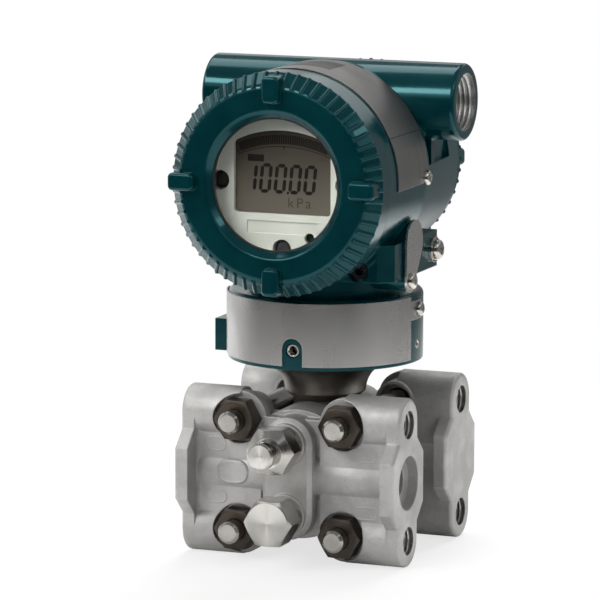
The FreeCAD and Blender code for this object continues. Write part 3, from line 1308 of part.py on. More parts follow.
doc.recompute()
grouped = set()
for thing in doc.Objects:
    if thing.TypeId == "Part::Compound":
        grouped.update(part.Name for part in thing.Links)
pieces = [
    thing for thing in doc.Objects
    if thing.TypeId in ("PartDesign::Body", "Part::Compound") and thing.Name not in grouped
]
for thing in doc.Objects:
    if "Invalid" in thing.State or "Error" in thing.State:
        raise RuntimeError(f"{thing.Name} ({thing.Label}) failed: {thing.State}")
os.makedirs("parts", exist_ok=True)
for piece in pieces:
    shape = piece.Shape
    if shape.isNull() or not shape.isValid() or not shape.Solids:
        raise RuntimeError(f"{piece.Label} has no sound solid")
    shape.exportStep(f"parts/{piece.Label}.step")
    print(f"{piece.Label}: {len(shape.Solids)} solid, {shape.Volume:.0f} mm3")
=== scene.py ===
import json
import math

import bmesh
import bpy
from mathutils import Matrix, Vector


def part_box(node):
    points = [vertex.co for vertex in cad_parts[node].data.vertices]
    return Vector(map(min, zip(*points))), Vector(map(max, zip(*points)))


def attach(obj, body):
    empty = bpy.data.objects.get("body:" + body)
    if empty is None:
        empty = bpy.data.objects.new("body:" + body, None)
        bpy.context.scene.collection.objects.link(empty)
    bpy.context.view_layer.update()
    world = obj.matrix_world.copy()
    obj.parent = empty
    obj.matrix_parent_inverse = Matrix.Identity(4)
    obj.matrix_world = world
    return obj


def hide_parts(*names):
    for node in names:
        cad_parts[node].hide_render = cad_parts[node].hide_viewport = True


# Looks of a gauge pressure transmitter: finishes, threads, screw recesses, display print and cast marks.
# Everything is in metres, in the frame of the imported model.

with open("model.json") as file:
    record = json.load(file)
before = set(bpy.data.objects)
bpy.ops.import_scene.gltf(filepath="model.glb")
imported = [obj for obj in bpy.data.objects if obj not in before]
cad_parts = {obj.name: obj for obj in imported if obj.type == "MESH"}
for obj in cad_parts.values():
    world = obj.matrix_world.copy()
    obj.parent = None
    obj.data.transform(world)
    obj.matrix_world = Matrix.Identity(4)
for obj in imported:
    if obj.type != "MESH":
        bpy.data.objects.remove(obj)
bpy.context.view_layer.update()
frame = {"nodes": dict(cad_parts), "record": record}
nodes = frame["nodes"]
scene = bpy.context.scene
MM = 0.001


def middle(node):
    low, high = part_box(node)
    return (low + high) / 2


# Places read from the frame
AXIS_Y = middle("swivel_seal").y
BODY_Z = middle("window_glass").z
FLANGE_Z = middle("front_gasket").z
PANEL_FACE_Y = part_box("lcd_panel")[0].y
FLANGE_END_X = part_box("front_flange")[1].x
BARREL_END_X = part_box("housing")[1].x


# Small helpers for node trees

def feed(tree, socket, value):
    """Link a socket to an input, or set the input's plain value."""
    if isinstance(value, bpy.types.NodeSocket):
        tree.links.new(value, socket)
    else:
        socket.default_value = value


def add(tree, kind, settings=None, **inputs):
    """New node. Input names are written with _ for a space."""
    made = tree.nodes.new(kind)
    for name, value in (settings or {}).items():
        setattr(made, name, value)
    for name, value in inputs.items():
        feed(tree, made.inputs[name.replace("_", " ")], value)
    return made


def feed_all(tree, made, *values):
    """Feed a node's inputs in their order. Returns its first output."""
    for socket, value in zip(made.inputs, values):
        feed(tree, socket, value)
    return made.outputs[0]


def calc(tree, operation, first, second=0.0):
    return feed_all(tree, add(tree, "ShaderNodeMath", {"operation": operation}), first, second)


def times(tree, first, second):
    return calc(tree, "MULTIPLY", first, second)


def plus(tree, first, second):
    return calc(tree, "ADD", first, second)


def minus(tree, first, second):
    return calc(tree, "SUBTRACT", first, second)


def length(tree, a, b):
    """Length of a flat vector."""
    return calc(tree, "SQRT", plus(tree, times(tree, a, a), times(tree, b, b)))


def remap(tree, value, low, high, to_low=0.0, to_high=1.0):
    made = add(tree, "ShaderNodeMapRange", {"interpolation_type": "SMOOTHSTEP"}, Value=value,
               From_Min=low, From_Max=high, To_Min=to_low, To_Max=to_high)
    return made.outputs["Result"]


def blend_colour(tree, share, first, second):
    made = add(tree, "ShaderNodeMix", {"data_type": "RGBA"})
    feed(tree, made.inputs["Factor"], share)
    feed(tree, made.inputs["A"], first)
    feed(tree, made.inputs["B"], second)
    return made.outputs["Result"]


def noise(tree, where, scale, detail=2.0, roughness=0.5):
    made = add(tree, "ShaderNodeTexNoise", None, Vector=where, Scale=scale, Detail=detail,
               Roughness=roughness)
    return made.outputs["Fac"]


def millimetres(tree):
    """Object coordinates, in millimetres."""
    place = add(tree, "ShaderNodeTexCoord").outputs["Object"]
    scaled = add(tree, "ShaderNodeVectorMath", {"operation": "SCALE"}, Scale=1 / MM)
    feed(tree, scaled.inputs[0], place)
    return scaled.outputs[0]


def split(tree, vector):
    parts = add(tree, "ShaderNodeSeparateXYZ", None, Vector=vector)
    return parts.outputs["X"], parts.outputs["Y"], parts.outputs["Z"]


def join(tree, x, y, z):
    return feed_all(tree, add(tree, "ShaderNodeCombineXYZ"), x, y, z)


def new_group(name, inputs, outputs):
    """Shader group with named sockets. Returns the group, its inputs and its outputs."""
    group = bpy.data.node_groups.new(name, "ShaderNodeTree")
    for label, value in inputs.items():
        kind = "NodeSocketVector" if isinstance(value, tuple) else "NodeSocketFloat"
        socket = group.interface.new_socket(label, in_out="INPUT", socket_type=kind)
        socket.default_value = value
    for label, kind in outputs.items():
        group.interface.new_socket(label, in_out="OUTPUT", socket_type="NodeSocket" + kind)
    return group, group.nodes.new("NodeGroupInput").outputs, group.nodes.new("NodeGroupOutput").inputs


def use_group(tree, group, **inputs):
    return add(tree, "ShaderNodeGroup", {"node_tree": group}, **inputs).outputs


# Effects that several finishes share

def make_edge_group():
    """Mask of outer and inner edges, and a normal that is softly rounded there."""
    group, given, put = new_group("soft_edges", {"Radius": 0.4 * MM, "Breakup": 0.6},
                                  {"Edge": "Float", "Normal": "Vector"})
    rounded = add(group, "ShaderNodeBevel", {"samples": 6}, Radius=given["Radius"]).outputs["Normal"]
    flat = add(group, "ShaderNodeNewGeometry").outputs["Normal"]
    match = add(group, "ShaderNodeVectorMath", {"operation": "DOT_PRODUCT"})
    feed(group, match.inputs[0], rounded)
    feed(group, match.inputs[1], flat)
    turned = remap(group, minus(group, 1.0, match.outputs["Value"]), 0.02, 0.25)
    patches = noise(group, millimetres(group), 0.9, 3.0)
    kept = remap(group, patches, given["Breakup"], 0.75)
    feed(group, put["Edge"], times(group, turned, kept))
    feed(group, put["Normal"], rounded)
    return group


def make_grain_group():
    """Blasted or cast surface: fine grain, slow unevenness and cloudy patches."""
    group, given, put = new_group("cast_grain", {"Grain": 4.0, "Swell": 0.25},
                                  {"Height": "Float", "Cloud": "Float", "Speck": "Float"})
    where = millimetres(group)
    grain = noise(group, where, given["Grain"], 3.0, 0.6)
    swell = noise(group, where, given["Swell"], 2.0)
    feed(group, put["Height"], plus(group, times(group, grain, 0.35), swell))
    feed(group, put["Cloud"], remap(group, noise(group, where, 0.07, 4.0, 0.55), 0.32, 0.68))
    feed(group, put["Speck"], remap(group, noise(group, where, given["Grain"], 2.0), 0.58, 0.74))
    return group


def make_brush_group():
    """Brush lines along the first axis of the given place, which is in millimetres."""
    group, given, put = new_group("brush_lines", {"Place": (0.0, 0.0, 0.0), "Along": 0.05, "Across": 9.0},
                                  {"Height": "Float", "Streak": "Float"})
    x, y, z = split(group, given["Place"])
    stretched = join(group, times(group, x, given["Along"]), times(group, y, given["Across"]),
                     times(group, z, given["Across"]))
    lines = noise(group, stretched, 1.0, 4.0, 0.65)
    broad = noise(group, stretched, 0.13, 2.0)
    feed(group, put["Height"], lines)
    feed(group, put["Streak"], plus(group, times(group, lines, 0.6), times(group, broad, 0.4)))
    return group


EDGES = make_edge_group()
GRAIN = make_grain_group()
BRUSH = make_brush_group()


def around_axis(tree, axis, centre_a, centre_b):
    """Place on a round piece in millimetres: along its turn, along its axis, and from its axis out."""
    x, y, z = split(tree, millimetres(tree))
    along, a, b = {"Y": (y, x, z), "Z": (z, x, y)}[axis]
    a = minus(tree, a, centre_a / MM)
    b = minus(tree, b, centre_b / MM)
    radius = length(tree, a, b)
    return times(tree, calc(tree, "ARCTAN2", b, a), radius), along, radius


# Finishes

def new_finish(name, **plain):
    """Material with one Principled shader, whose plain values are set by name."""
    material = bpy.data.materials.new(name)
    material.use_nodes = True
    tree = material.node_tree
    shader = tree.nodes["Principled BSDF"]
    for label, value in plain.items():
        shader.inputs[label.replace("_", " ")].default_value = value
    return material, tree, shader.inputs


def coat(tree, shader, body, rough, height, depth, normal=None, strength=0.5):
    """Colour, roughness and bump of a finish. The bump lies on the given normal, if there is one."""
    feed(tree, shader["Base Color"], body)
    feed(tree, shader["Roughness"], rough)
    relief = add(tree, "ShaderNodeBump", None, Height=height, Distance=depth, Strength=strength)
    if normal is not None:
        feed(tree, relief.inputs["Normal"], normal)
    feed(tree, shader["Normal"], relief.outputs["Normal"])


def mix_surface(tree, share, other):
    """Mix another shader over the material's own."""
    surface = tree.nodes["Material Output"].inputs["Surface"]
    own = surface.links[0].from_socket
    feed(tree, surface, feed_all(tree, add(tree, "ShaderNodeMixShader"), share, own, other))


def gloss_green_paint():
    """Deep green enamel on a casting: orange peel, thin paint on the edges."""
    material, tree, shader = new_finish("gloss_green_paint", Specular_IOR_Level=0.45, Coat_Weight=0.12,
                                        Coat_Roughness=0.05, Specular_Tint=(0.28, 0.92, 1.0, 1))
    edge = use_group(tree, EDGES, Radius=0.5 * MM, Breakup=0.35)
    grain = use_group(tree, GRAIN, Grain=1.1, Swell=0.3)
    deep = (0.0003, 0.020, 0.025, 1)
    clear = (0.0005, 0.0265, 0.0315, 1)
    thin = (0.004, 0.110, 0.113, 1)
    body = blend_colour(tree, grain["Cloud"], deep, clear)
    body = blend_colour(tree, times(tree, edge["Edge"], 0.55), body, thin)
    rough = remap(tree, grain["Cloud"], 0.0, 1.0, 0.12, 0.18)
    coat(tree, shader, body, rough, grain["Height"], 0.03 * MM, edge["Normal"])
    return material


def blasted_cast_steel():
    """Bead-blasted stainless casting, smoother on the faced ends."""
    material, tree, shader = new_finish("blasted_cast_steel", Metallic=0.7)
    edge = use_group(tree, EDGES, Radius=0.7 * MM, Breakup=0.3)
    grain = use_group(tree, GRAIN, Grain=1.5, Swell=0.35)
    x, y, z = split(tree, millimetres(tree))
    faced = remap(tree, x, FLANGE_END_X / MM - 0.25, FLANGE_END_X / MM - 0.1)
    dull = (0.40, 0.393, 0.380, 1)
    bright = (0.50, 0.492, 0.478, 1)
    pit = (0.34, 0.33, 0.32, 1)
    worn = (0.74, 0.73, 0.71, 1)
    body = blend_colour(tree, grain["Cloud"], dull, bright)
    body = blend_colour(tree, times(tree, grain["Speck"], 0.6), body, pit)
    body = blend_colour(tree, times(tree, edge["Edge"], 0.6), body, worn)
    rough = remap(tree, grain["Cloud"], 0.0, 1.0, 0.62, 0.52)
    rough = minus(tree, rough, times(tree, faced, 0.08))
    strength = minus(tree, 1.0, times(tree, faced, 0.7))
    coat(tree, shader, body, rough, grain["Height"], 0.20 * MM, edge["Normal"], strength)
    return material


def machined_steel():
    """Turned capsule and neck with fine tool marks round the swivel axis."""
    material, tree, shader = new_finish("machined_steel", Metallic=1.0, Anisotropic=0.35)
    edge = use_group(tree, EDGES, Radius=0.4 * MM, Breakup=0.4)
    place = join(tree, *around_axis(tree, "Z", 0.0, AXIS_Y))
    marks = use_group(tree, BRUSH, Place=place, Along=0.04, Across=5.0)
    grain = use_group(tree, GRAIN, Grain=2.0, Swell=0.2)
    dull = (0.18, 0.166, 0.146, 1)
    bright = (0.26, 0.243, 0.217, 1)
    body = blend_colour(tree, grain["Cloud"], dull, bright)
    rough = remap(tree, marks["Streak"], 0.2, 0.8, 0.32, 0.46)
    coat(tree, shader, body, rough, marks["Height"], 0.02 * MM, edge["Normal"])
    return material


def warm_grey(shade):
    return shade, shade * 0.985, shade * 0.96, 1


def brushed_band(name, axis, centre_a, centre_b, dull, bright, depth, polish, satin, dress=None):
    """Stainless sheet bent round an axis, from brushed (satin 0) to cloudy (satin 1).

    dress can lay fields over its colour and roughness.
    """
    material, tree, shader = new_finish(name, Metallic=1.0, Anisotropic=0.4)
    edge = use_group(tree, EDGES, Radius=0.15 * MM, Breakup=0.3)
    turn, along, radius = around_axis(tree, axis, centre_a, centre_b)
    lines = use_group(tree, BRUSH, Place=join(tree, turn, along, radius), Along=0.03, Across=9.0)
    squeezed = join(tree, turn, times(tree, along, 0.5), radius)
    clouds = remap(tree, noise(tree, squeezed, 0.06), 0.1, 0.9)
    patchy = plus(tree, times(tree, lines["Streak"], 1.0 - satin), times(tree, clouds, satin))
    body = blend_colour(tree, patchy, warm_grey(dull), warm_grey(bright))
    rough = remap(tree, patchy, 0.2, 0.8, polish + 0.05, polish - 0.05)
    if dress:
        body, rough = dress(tree, turn, along, body, rough)
    worn = (0.75, 0.75, 0.74, 1)
    body = blend_colour(tree, edge["Edge"], body, worn)
    coat(tree, shader, body, rough, lines["Height"], depth * MM, edge["Normal"])
    return material


def inside(tree, value, low, high, soft):
    """Mask that is 1 between two values."""
    over = remap(tree, value, low - soft, low + soft)
    under = remap(tree, value, high - soft, high + soft, 1.0, 0.0)
    return times(tree, over, under)


def name_band_fields(tree, turn, along, body, rough):
    """Bare darker field on the crown of the name band, and the line that parts it from its end field."""
    over = inside(tree, turn, NAME_FIELD_LOW, NAME_FIELD_HIGH, NAME_SOFT)
    field = times(tree, over, inside(tree, along, NAME_FIELD_FRONT, NAME_FIELD_BACK, NAME_SOFT))
    line = inside(tree, turn, NAME_LINE - LINE_HALF, NAME_LINE + LINE_HALF, LINE_SOFT)
    bare = (0.085, 0.081, 0.076, 1)
    groove = (0.02, 0.02, 0.02, 1)
    body = blend_colour(tree, times(tree, field, 0.7), body, bare)
    body = blend_colour(tree, times(tree, line, 0.9), body, groove)
    rough = plus(tree, rough, times(tree, field, 0.15))
    return body, rough


# Fields on the name band: along its turn and along the body, in millimetres
NAME_RADIUS = 38.6
NAME_FIELD_LOW = NAME_RADIUS * math.radians(76)
NAME_FIELD_HIGH = NAME_RADIUS * math.radians(104)
NAME_FIELD_FRONT = AXIS_Y / MM - 22.0
NAME_FIELD_BACK = AXIS_Y / MM - 6.0
NAME_LINE = NAME_RADIUS * math.radians(24)
NAME_SOFT = 0.12
LINE_HALF = 0.12
LINE_SOFT = 0.06

# Angle of the painted highlight fans on turned end faces
PAINTED_SHEEN_TURN = math.radians(250)


def turned_steel(name, off_x, off_z, radial_gloss_and_painted_sheen):
    """Bright turned bar with ring marks round axes along Y, off to both sides of the flange middle, and a
    painted bow-tie highlight on its end faces.
    """
    material, tree, shader = new_finish(name, Metallic=1.0, Anisotropic=radial_gloss_and_painted_sheen)
    edge = use_group(tree, EDGES, Radius=0.3 * MM, Breakup=0.2)
    where = millimetres(tree)
    x, y, z = split(tree, where)
    across = minus(tree, calc(tree, "ABSOLUTE", x), off_x)
    height = calc(tree, "ABSOLUTE", minus(tree, z, FLANGE_Z / MM))
    height = minus(tree, height, off_z)
    radius = length(tree, across, height)
    turn = calc(tree, "ARCTAN2", height, across)
    rings = use_group(tree, BRUSH, Place=join(tree, turn, radius, y), Along=0.4, Across=3.2)
    cloud = remap(tree, noise(tree, where, 0.12, 3.0), 0.3, 0.7)
    dull = (0.35, 0.339, 0.317, 1)
    bright = (0.45, 0.438, 0.412, 1)
    painted_shine = (0.72, 0.705, 0.665, 1)
    worn = (0.80, 0.79, 0.76, 1)
    body = blend_colour(tree, cloud, dull, bright)
    # Painted highlight: a bow-tie fan of lighter colour round the axis, in place of the sheen of turned end
    # faces
    painted_fan = calc(tree, "COSINE", minus(tree, times(tree, turn, 2.0), PAINTED_SHEEN_TURN))
    painted_sheen = remap(tree, plus(tree, painted_fan, times(tree, rings["Streak"], 0.5)), -0.6, 1.3)
    body = blend_colour(tree, times(tree, painted_sheen, radial_gloss_and_painted_sheen), body, painted_shine)
    body = blend_colour(tree, times(tree, edge["Edge"], 0.5), body, worn)
    rough = remap(tree, rings["Streak"], 0.2, 0.8, 0.14, 0.26)
    coat(tree, shader, body, rough, rings["Height"], 0.010 * MM, edge["Normal"])
    if radial_gloss_and_painted_sheen:
        tangent = add(tree, "ShaderNodeTangent", {"direction_type": "RADIAL", "axis": "Y"})
        feed(tree, shader["Tangent"], tangent.outputs["Tangent"])
    return material


def plated_steel():
    """Bright plated screws with a faint warm tone."""
    material, tree, shader = new_finish("plated_steel", Metallic=1.0)
    edge = use_group(tree, EDGES, Radius=0.15 * MM, Breakup=0.2)
    grain = use_group(tree, GRAIN, Grain=5.0, Swell=0.8)
    dull = (0.52, 0.50, 0.46, 1)
    bright = (0.64, 0.62, 0.58, 1)
    body = blend_colour(tree, grain["Cloud"], dull, bright)
    rough = remap(tree, grain["Height"], 0.3, 1.0, 0.08, 0.20)
    coat(tree, shader, body, rough, grain["Height"], 0.01 * MM, edge["Normal"])
    return material


def blackened_steel():
    """Oiled dark brown nuts, bare on the corners."""
    material, tree, shader = new_finish("blackened_steel", Metallic=0.85)
    edge = use_group(tree, EDGES, Radius=0.4 * MM, Breakup=0.35)
    grain = use_group(tree, GRAIN, Grain=4.0, Swell=0.5)
    oiled = (0.045, 0.037, 0.030, 1)
    dry = (0.088, 0.072, 0.058, 1)
    worn = (0.30, 0.27, 0.24, 1)
    body = blend_colour(tree, grain["Cloud"], oiled, dry)
    body = blend_colour(tree, times(tree, edge["Edge"], 0.7), body, worn)
    rough = remap(tree, grain["Height"], 0.3, 1.0, 0.28, 0.46)
    coat(tree, shader, body, rough, grain["Height"], 0.03 * MM, edge["Normal"])
    return material


def bare_cut_metal(name, dull, bright):
    """Unpainted cut threads and bores."""
    material, tree, shader = new_finish(name, Metallic=1.0)
    grain = use_group(tree, GRAIN, Grain=3.0, Swell=0.6)
    body = blend_colour(tree, grain["Cloud"], (dull, dull, dull * 0.98, 1),
                        (bright, bright, bright * 0.98, 1))
    rough = remap(tree, grain["Height"], 0.3, 1.0, 0.24, 0.40)
    coat(tree, shader, body, rough, grain["Height"], 0.02 * MM)
    return material


def moulded(name, dark, light, rough_low, rough_high, grain_size, depth):
    """Moulded plastic or rubber with a fine mould texture."""
    material, tree, shader = new_finish(name, IOR=1.46)
    edge = use_group(tree, EDGES, Radius=0.25 * MM, Breakup=0.5)
    grain = use_group(tree, GRAIN, Grain=grain_size, Swell=0.4)
    body = blend_colour(tree, grain["Cloud"], dark, light)
    rough = remap(tree, grain["Height"], 0.3, 1.0, rough_low, rough_high)
    coat(tree, shader, body, rough, grain["Height"], depth * MM, edge["Normal"])
    return material


def display_film():
    """Reflective grey-brown display film with a faint cell pattern, darkened towards the top by painted
    shadow.
    """
    material, tree, shader = new_finish("display_film", Specular_IOR_Level=0.2)
    where = millimetres(tree)
    x, y, z = split(tree, where)
    cloud = noise(tree, where, 0.06, 3.0)
    # Painted shadow of the bezel's rim: the film is darker towards its top
    painted_shadow_fall = remap(tree, z, BODY_Z / MM - 11, BODY_Z / MM + 16, 1.0, 0.0)
    top = (0.040, 0.032, 0.023, 1)
    foot = (0.120, 0.104, 0.081, 1)
    haze = (0.080, 0.067, 0.052, 1)
    body = blend_colour(tree, painted_shadow_fall, top, foot)
    body = blend_colour(tree, times(tree, cloud, 0.25), body, haze)
    rough = remap(tree, noise(tree, where, 6.0), 0.3, 0.7, 0.38, 0.48)
    coat(tree, shader, body, rough, noise(tree, where, 8.0), 0.004 * MM, None, 0.4)
    return material


def display_ink(name, dark, light):
    """Segments and fields of the display, and its painted shadow band."""
    material, tree, shader = new_finish(name, Specular_IOR_Level=0.08)
    where = millimetres(tree)
    feed(tree, shader["Base Color"], blend_colour(tree, noise(tree, where, 1.2, 3.0), dark, light))
    feed(tree, shader["Roughness"], remap(tree, noise(tree, where, 5.0), 0.3, 0.7, 0.40, 0.55))
    return material


def clear_glass():
    """Flat polished window. Lamps shine through it."""
    material, tree, shader = new_finish("clear_glass", IOR=1.47, Transmission_Weight=1.0,
                                        Base_Color=(0.97, 0.985, 0.98, 1))
    smear = remap(tree, noise(tree, millimetres(tree), 0.12, 4.0), 0.45, 0.75, 0.0, 0.03)
    feed(tree, shader["Roughness"], smear)
    path = add(tree, "ShaderNodeLightPath")
    mix_surface(tree, path.outputs["Is Shadow Ray"], add(tree, "ShaderNodeBsdfTransparent").outputs[0])
    return material


PAINT = gloss_green_paint()
CAST = blasted_cast_steel()
TURNED = turned_steel("turned_plug_steel", 0.0, 12.5, 0.7)
TURNED_BOLTS = turned_steel("turned_bolt_steel", 19.6, 19.6, 0.0)
PLATED = plated_steel()
BLACKENED = blackened_steel()
BARE = bare_cut_metal("bare_cut_metal", 0.58, 0.76)
# Darker metal for the walls of the tapped holes: painted shade inside the holes
SHADED_BORE_METAL = bare_cut_metal("painted_shade_bore", 0.28, 0.40)
DATA_BAND = brushed_band("brushed_data_band", "Z", 0.0, AXIS_Y, 0.31, 0.46, 0.0003, 0.27, 0.85)
NAME_BAND = brushed_band("brushed_name_band", "Y", 0.0, BODY_Z, 0.18, 0.35, 0.006, 0.40, 0.0,
                         name_band_fields)
ZERO_PLATE = brushed_band("brushed_zero_plate", "Z", 0.0, AXIS_Y, 0.52, 0.64, 0.002, 0.31, 0.6)
SEGMENT_INK = display_ink("segment_ink", (0.006, 0.005, 0.004, 1), (0.014, 0.011, 0.009, 1))
FAINT_INK = display_ink("faint_ink", (0.045, 0.036, 0.027, 1), (0.060, 0.049, 0.038, 1))
# Painted shadow: a dark band where the bezel's rim shades the top of the display
PAINTED_SHADOW_FILM = display_ink("painted_shadow_film", (0.040, 0.032, 0.024, 1), (0.055, 0.045, 0.034, 1))

FINISHES = {
    "cast_steel": CAST,
    "capsule_steel": machined_steel(),
    "band_steel": DATA_BAND,
    "plug_steel": TURNED,
    "screw_steel": PLATED,
    "dark_steel": BLACKENED,
    "foil_steel": PLATED,
    "green_paint": PAINT,
    "bare_cast": BARE,
    "pale_plastic": moulded("pale_moulded_plate", (0.58, 0.59, 0.522, 1), (0.64, 0.65, 0.577, 1),
                            0.42, 0.56, 3.0, 0.02),
    "black_plastic": moulded("black_moulding", (0.012, 0.012, 0.013, 1), (0.022, 0.022, 0.023, 1),
                             0.40, 0.60, 3.0, 0.03),
    "board": moulded("lacquered_board", (0.010, 0.070, 0.030, 1), (0.018, 0.105, 0.045, 1),
                     0.30, 0.45, 2.0, 0.02),
    "lcd": display_film(),
    "window": clear_glass(),
    "rubber": moulded("seal_rubber", (0.010, 0.010, 0.011, 1), (0.020, 0.020, 0.021, 1),
                      0.50, 0.70, 4.0, 0.03),
    "gasket": moulded("white_gasket", (0.70, 0.69, 0.66, 1), (0.80, 0.79, 0.76, 1), 0.40, 0.55, 2.0, 0.02),
    "ribbon": moulded("amber_lead", (0.30, 0.13, 0.02, 1), (0.42, 0.20, 0.04, 1), 0.25, 0.40, 2.0, 0.01),
}

for part in frame["record"]["subparts"]:
    piece = nodes[part["node"]]
    piece.data.materials.clear()
    piece.data.materials.append(FINISHES[part["material_slot"]])
nodes["name_band"].data.materials[0] = NAME_BAND
nodes["zero_cover"].data.materials[0] = ZERO_PLATE
nodes["flange_bolts"].data.materials[0] = TURNED_BOLTS
nodes["swivel_set_screws"].data.materials[0] = PLATED
# The display screws take the black rubber finish: painted shade that keeps their wells dark
nodes["display_screws"].data.materials[0] = FINISHES["rubber"]
nodes["cover_lock_bolt"].data.materials[0] = moulded(
    "lacquered_lock_bolt", (0.003, 0.006, 0.010, 1), (0.006, 0.011, 0.017, 1), 0.10, 0.18, 3.0, 0.01)


# Geometry trees for what repeats

def new_growth(name, inputs):
    """Geometry tree with named inputs, and its Geometry input and output."""
    tree = bpy.data.node_groups.new(name, "GeometryNodeTree")
    tree.interface.new_socket("Geometry", in_out="INPUT", socket_type="NodeSocketGeometry")
    for label, kind in inputs.items():
        tree.interface.new_socket(label, in_out="INPUT", socket_type="NodeSocket" + kind)
    tree.interface.new_socket("Geometry", in_out="OUTPUT", socket_type="NodeSocketGeometry")
    return tree, tree.nodes.new("NodeGroupInput").outputs, tree.nodes.new("NodeGroupOutput").inputs


def close_growth(tree, instances, material, put):
    """Realize Instances and Set Material, then the tree's output."""
    real = add(tree, "GeometryNodeRealizeInstances", None, Geometry=instances)
    coated = add(tree, "GeometryNodeSetMaterial", None, Geometry=real.outputs[0], Material=material)
    feed(tree, put["Geometry"], coated.outputs[0])


def make_thread_tree():
    """A cut thread at each point, running out along +X."""
    tree, given, put = new_growth("cut_threads", {
        "Radius": "Float", "Length": "Float", "Pitch": "Float", "Ridge": "Float", "Material": "Material"})
    turns = calc(tree, "DIVIDE", given["Length"], given["Pitch"])
    helix = add(tree, "GeometryNodeCurveSpiral", None, Resolution=40, Rotations=turns,
                Start_Radius=given["Radius"], End_Radius=given["Radius"], Height=given["Length"])
    section = add(tree, "GeometryNodeCurvePrimitiveCircle", None, Resolution=3, Radius=given["Ridge"])
    ridge = add(tree, "GeometryNodeCurveToMesh", None, Curve=helix.outputs[0],
                Profile_Curve=section.outputs["Curve"], Fill_Caps=True)
    laid = add(tree, "GeometryNodeTransform", None, Geometry=ridge.outputs[0], Rotation=(0, math.pi / 2, 0))
    spots = add(tree, "GeometryNodeInstanceOnPoints", None, Points=given["Geometry"],
                Instance=laid.outputs[0])
    close_growth(tree, spots.outputs[0], given["Material"], put)
    return tree


def make_screw_tree():
    """A copy of one screw at each point, aimed, spun and sized by the point's attributes."""
    tree, given, put = new_growth("screw_places", {"Screw": "Object", "Material": "Material"})
    source = add(tree, "GeometryNodeObjectInfo", None, Object=given["Screw"])
    aim = add(tree, "GeometryNodeInputNamedAttribute", {"data_type": "FLOAT_VECTOR"}, Name="aim")
    spin = add(tree, "GeometryNodeInputNamedAttribute", {"data_type": "FLOAT"}, Name="spin")
    size = add(tree, "GeometryNodeInputNamedAttribute", {"data_type": "FLOAT_VECTOR"}, Name="size")
    aimed = add(tree, "FunctionNodeAlignRotationToVector", {"axis": "Z"}, Vector=aim.outputs[0])
    turn = add(tree, "FunctionNodeAxisAngleToRotation", None, Axis=(0, 0, 1), Angle=spin.outputs[0])
    both = add(tree, "FunctionNodeRotateRotation", {"rotation_space": "LOCAL"}, Rotation=aimed.outputs[0],
               Rotate_By=turn.outputs[0])
    spots = add(tree, "GeometryNodeInstanceOnPoints", None, Points=given["Geometry"],
                Instance=source.outputs["Geometry"], Rotation=both.outputs[0], Scale=size.outputs[0])
    close_growth(tree, spots.outputs[0], given["Material"], put)
    return tree


def make_bar_tree():
    """Bars side by side on an arc in the XZ plane, about the origin, with its middle at the top."""
    tree, given, put = new_growth("arc_bars", {
        "Count": "Int", "Radius": "Float", "Sweep": "Float", "Width": "Float", "Height": "Float",
        "Material": "Material"})
    start = minus(tree, math.pi / 2, times(tree, given["Sweep"], 0.5))
    arc = add(tree, "GeometryNodeCurveArc", None, Resolution=given["Count"], Radius=given["Radius"],
              Start_Angle=start, Sweep_Angle=given["Sweep"])
    points = add(tree, "GeometryNodeCurveToPoints", {"mode": "EVALUATED"}, Curve=arc.outputs[0])
    bar = add(tree, "GeometryNodeMeshGrid", None, Size_X=given["Height"], Size_Y=given["Width"],
              Vertices_X=2, Vertices_Y=2)
    place = add(tree, "GeometryNodeInputPosition")
    aimed = add(tree, "FunctionNodeAlignRotationToVector", {"axis": "X"}, Vector=place.outputs[0])
    spots = add(tree, "GeometryNodeInstanceOnPoints", None, Points=points.outputs["Points"],
                Instance=bar.outputs["Mesh"], Rotation=aimed.outputs[0])
    stood = add(tree, "GeometryNodeTransform", None, Geometry=spots.outputs[0], Rotation=(math.pi / 2, 0, 0))
    close_growth(tree, stood.outputs[0], given["Material"], put)
    return tree


def show(name, mesh, body):
    """Link a finished mesh as a piece that rides on a body."""
    piece = bpy.data.objects.new(name, mesh)
    scene.collection.objects.link(piece)
    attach(piece, body)
    return piece


def keep_shape(name, shape, material, body):
    """Make a piece of a bmesh, and free the bmesh."""
    mesh = bpy.data.meshes.new(name)
    shape.to_mesh(mesh)
    shape.free()
    mesh.materials.append(material)
    return show(name, mesh, body)


def ring_corners(shape, centre, side, radius, steps):
    """Corners of an upright ring, counted from side, a level direction across it."""
    up = Vector((0, 0, 1))
    corners = []
    for i in range(steps):
        angle = 2 * math.pi * i / steps
        out = side * math.cos(angle) + up * math.sin(angle)
        corners.append(shape.verts.new(centre + out * radius))
    return corners


def strip_faces(shape, rows):
    """Faces between neighbouring closed rows of corners."""
    for near, far in zip(rows, rows[1:]):
        for i in range(len(near)):
            k = (i + 1) % len(near)
            shape.faces.new((near[i], near[k], far[k], far[i])).smooth = True


# Edges that turn more than this stay sharp, in degrees
SOFT_ANGLE = 40
SCREW_ANGLE = 35


def smooth_by_angle(mesh, degrees):
    for face in mesh.polygons:
        face.use_smooth = True
    mesh.set_sharp_from_angle(angle=math.radians(degrees))


def point_mesh(name, points):
    mesh = bpy.data.meshes.new(name)
    mesh.from_pydata([tuple(p) for p in points], [], [])
    return mesh


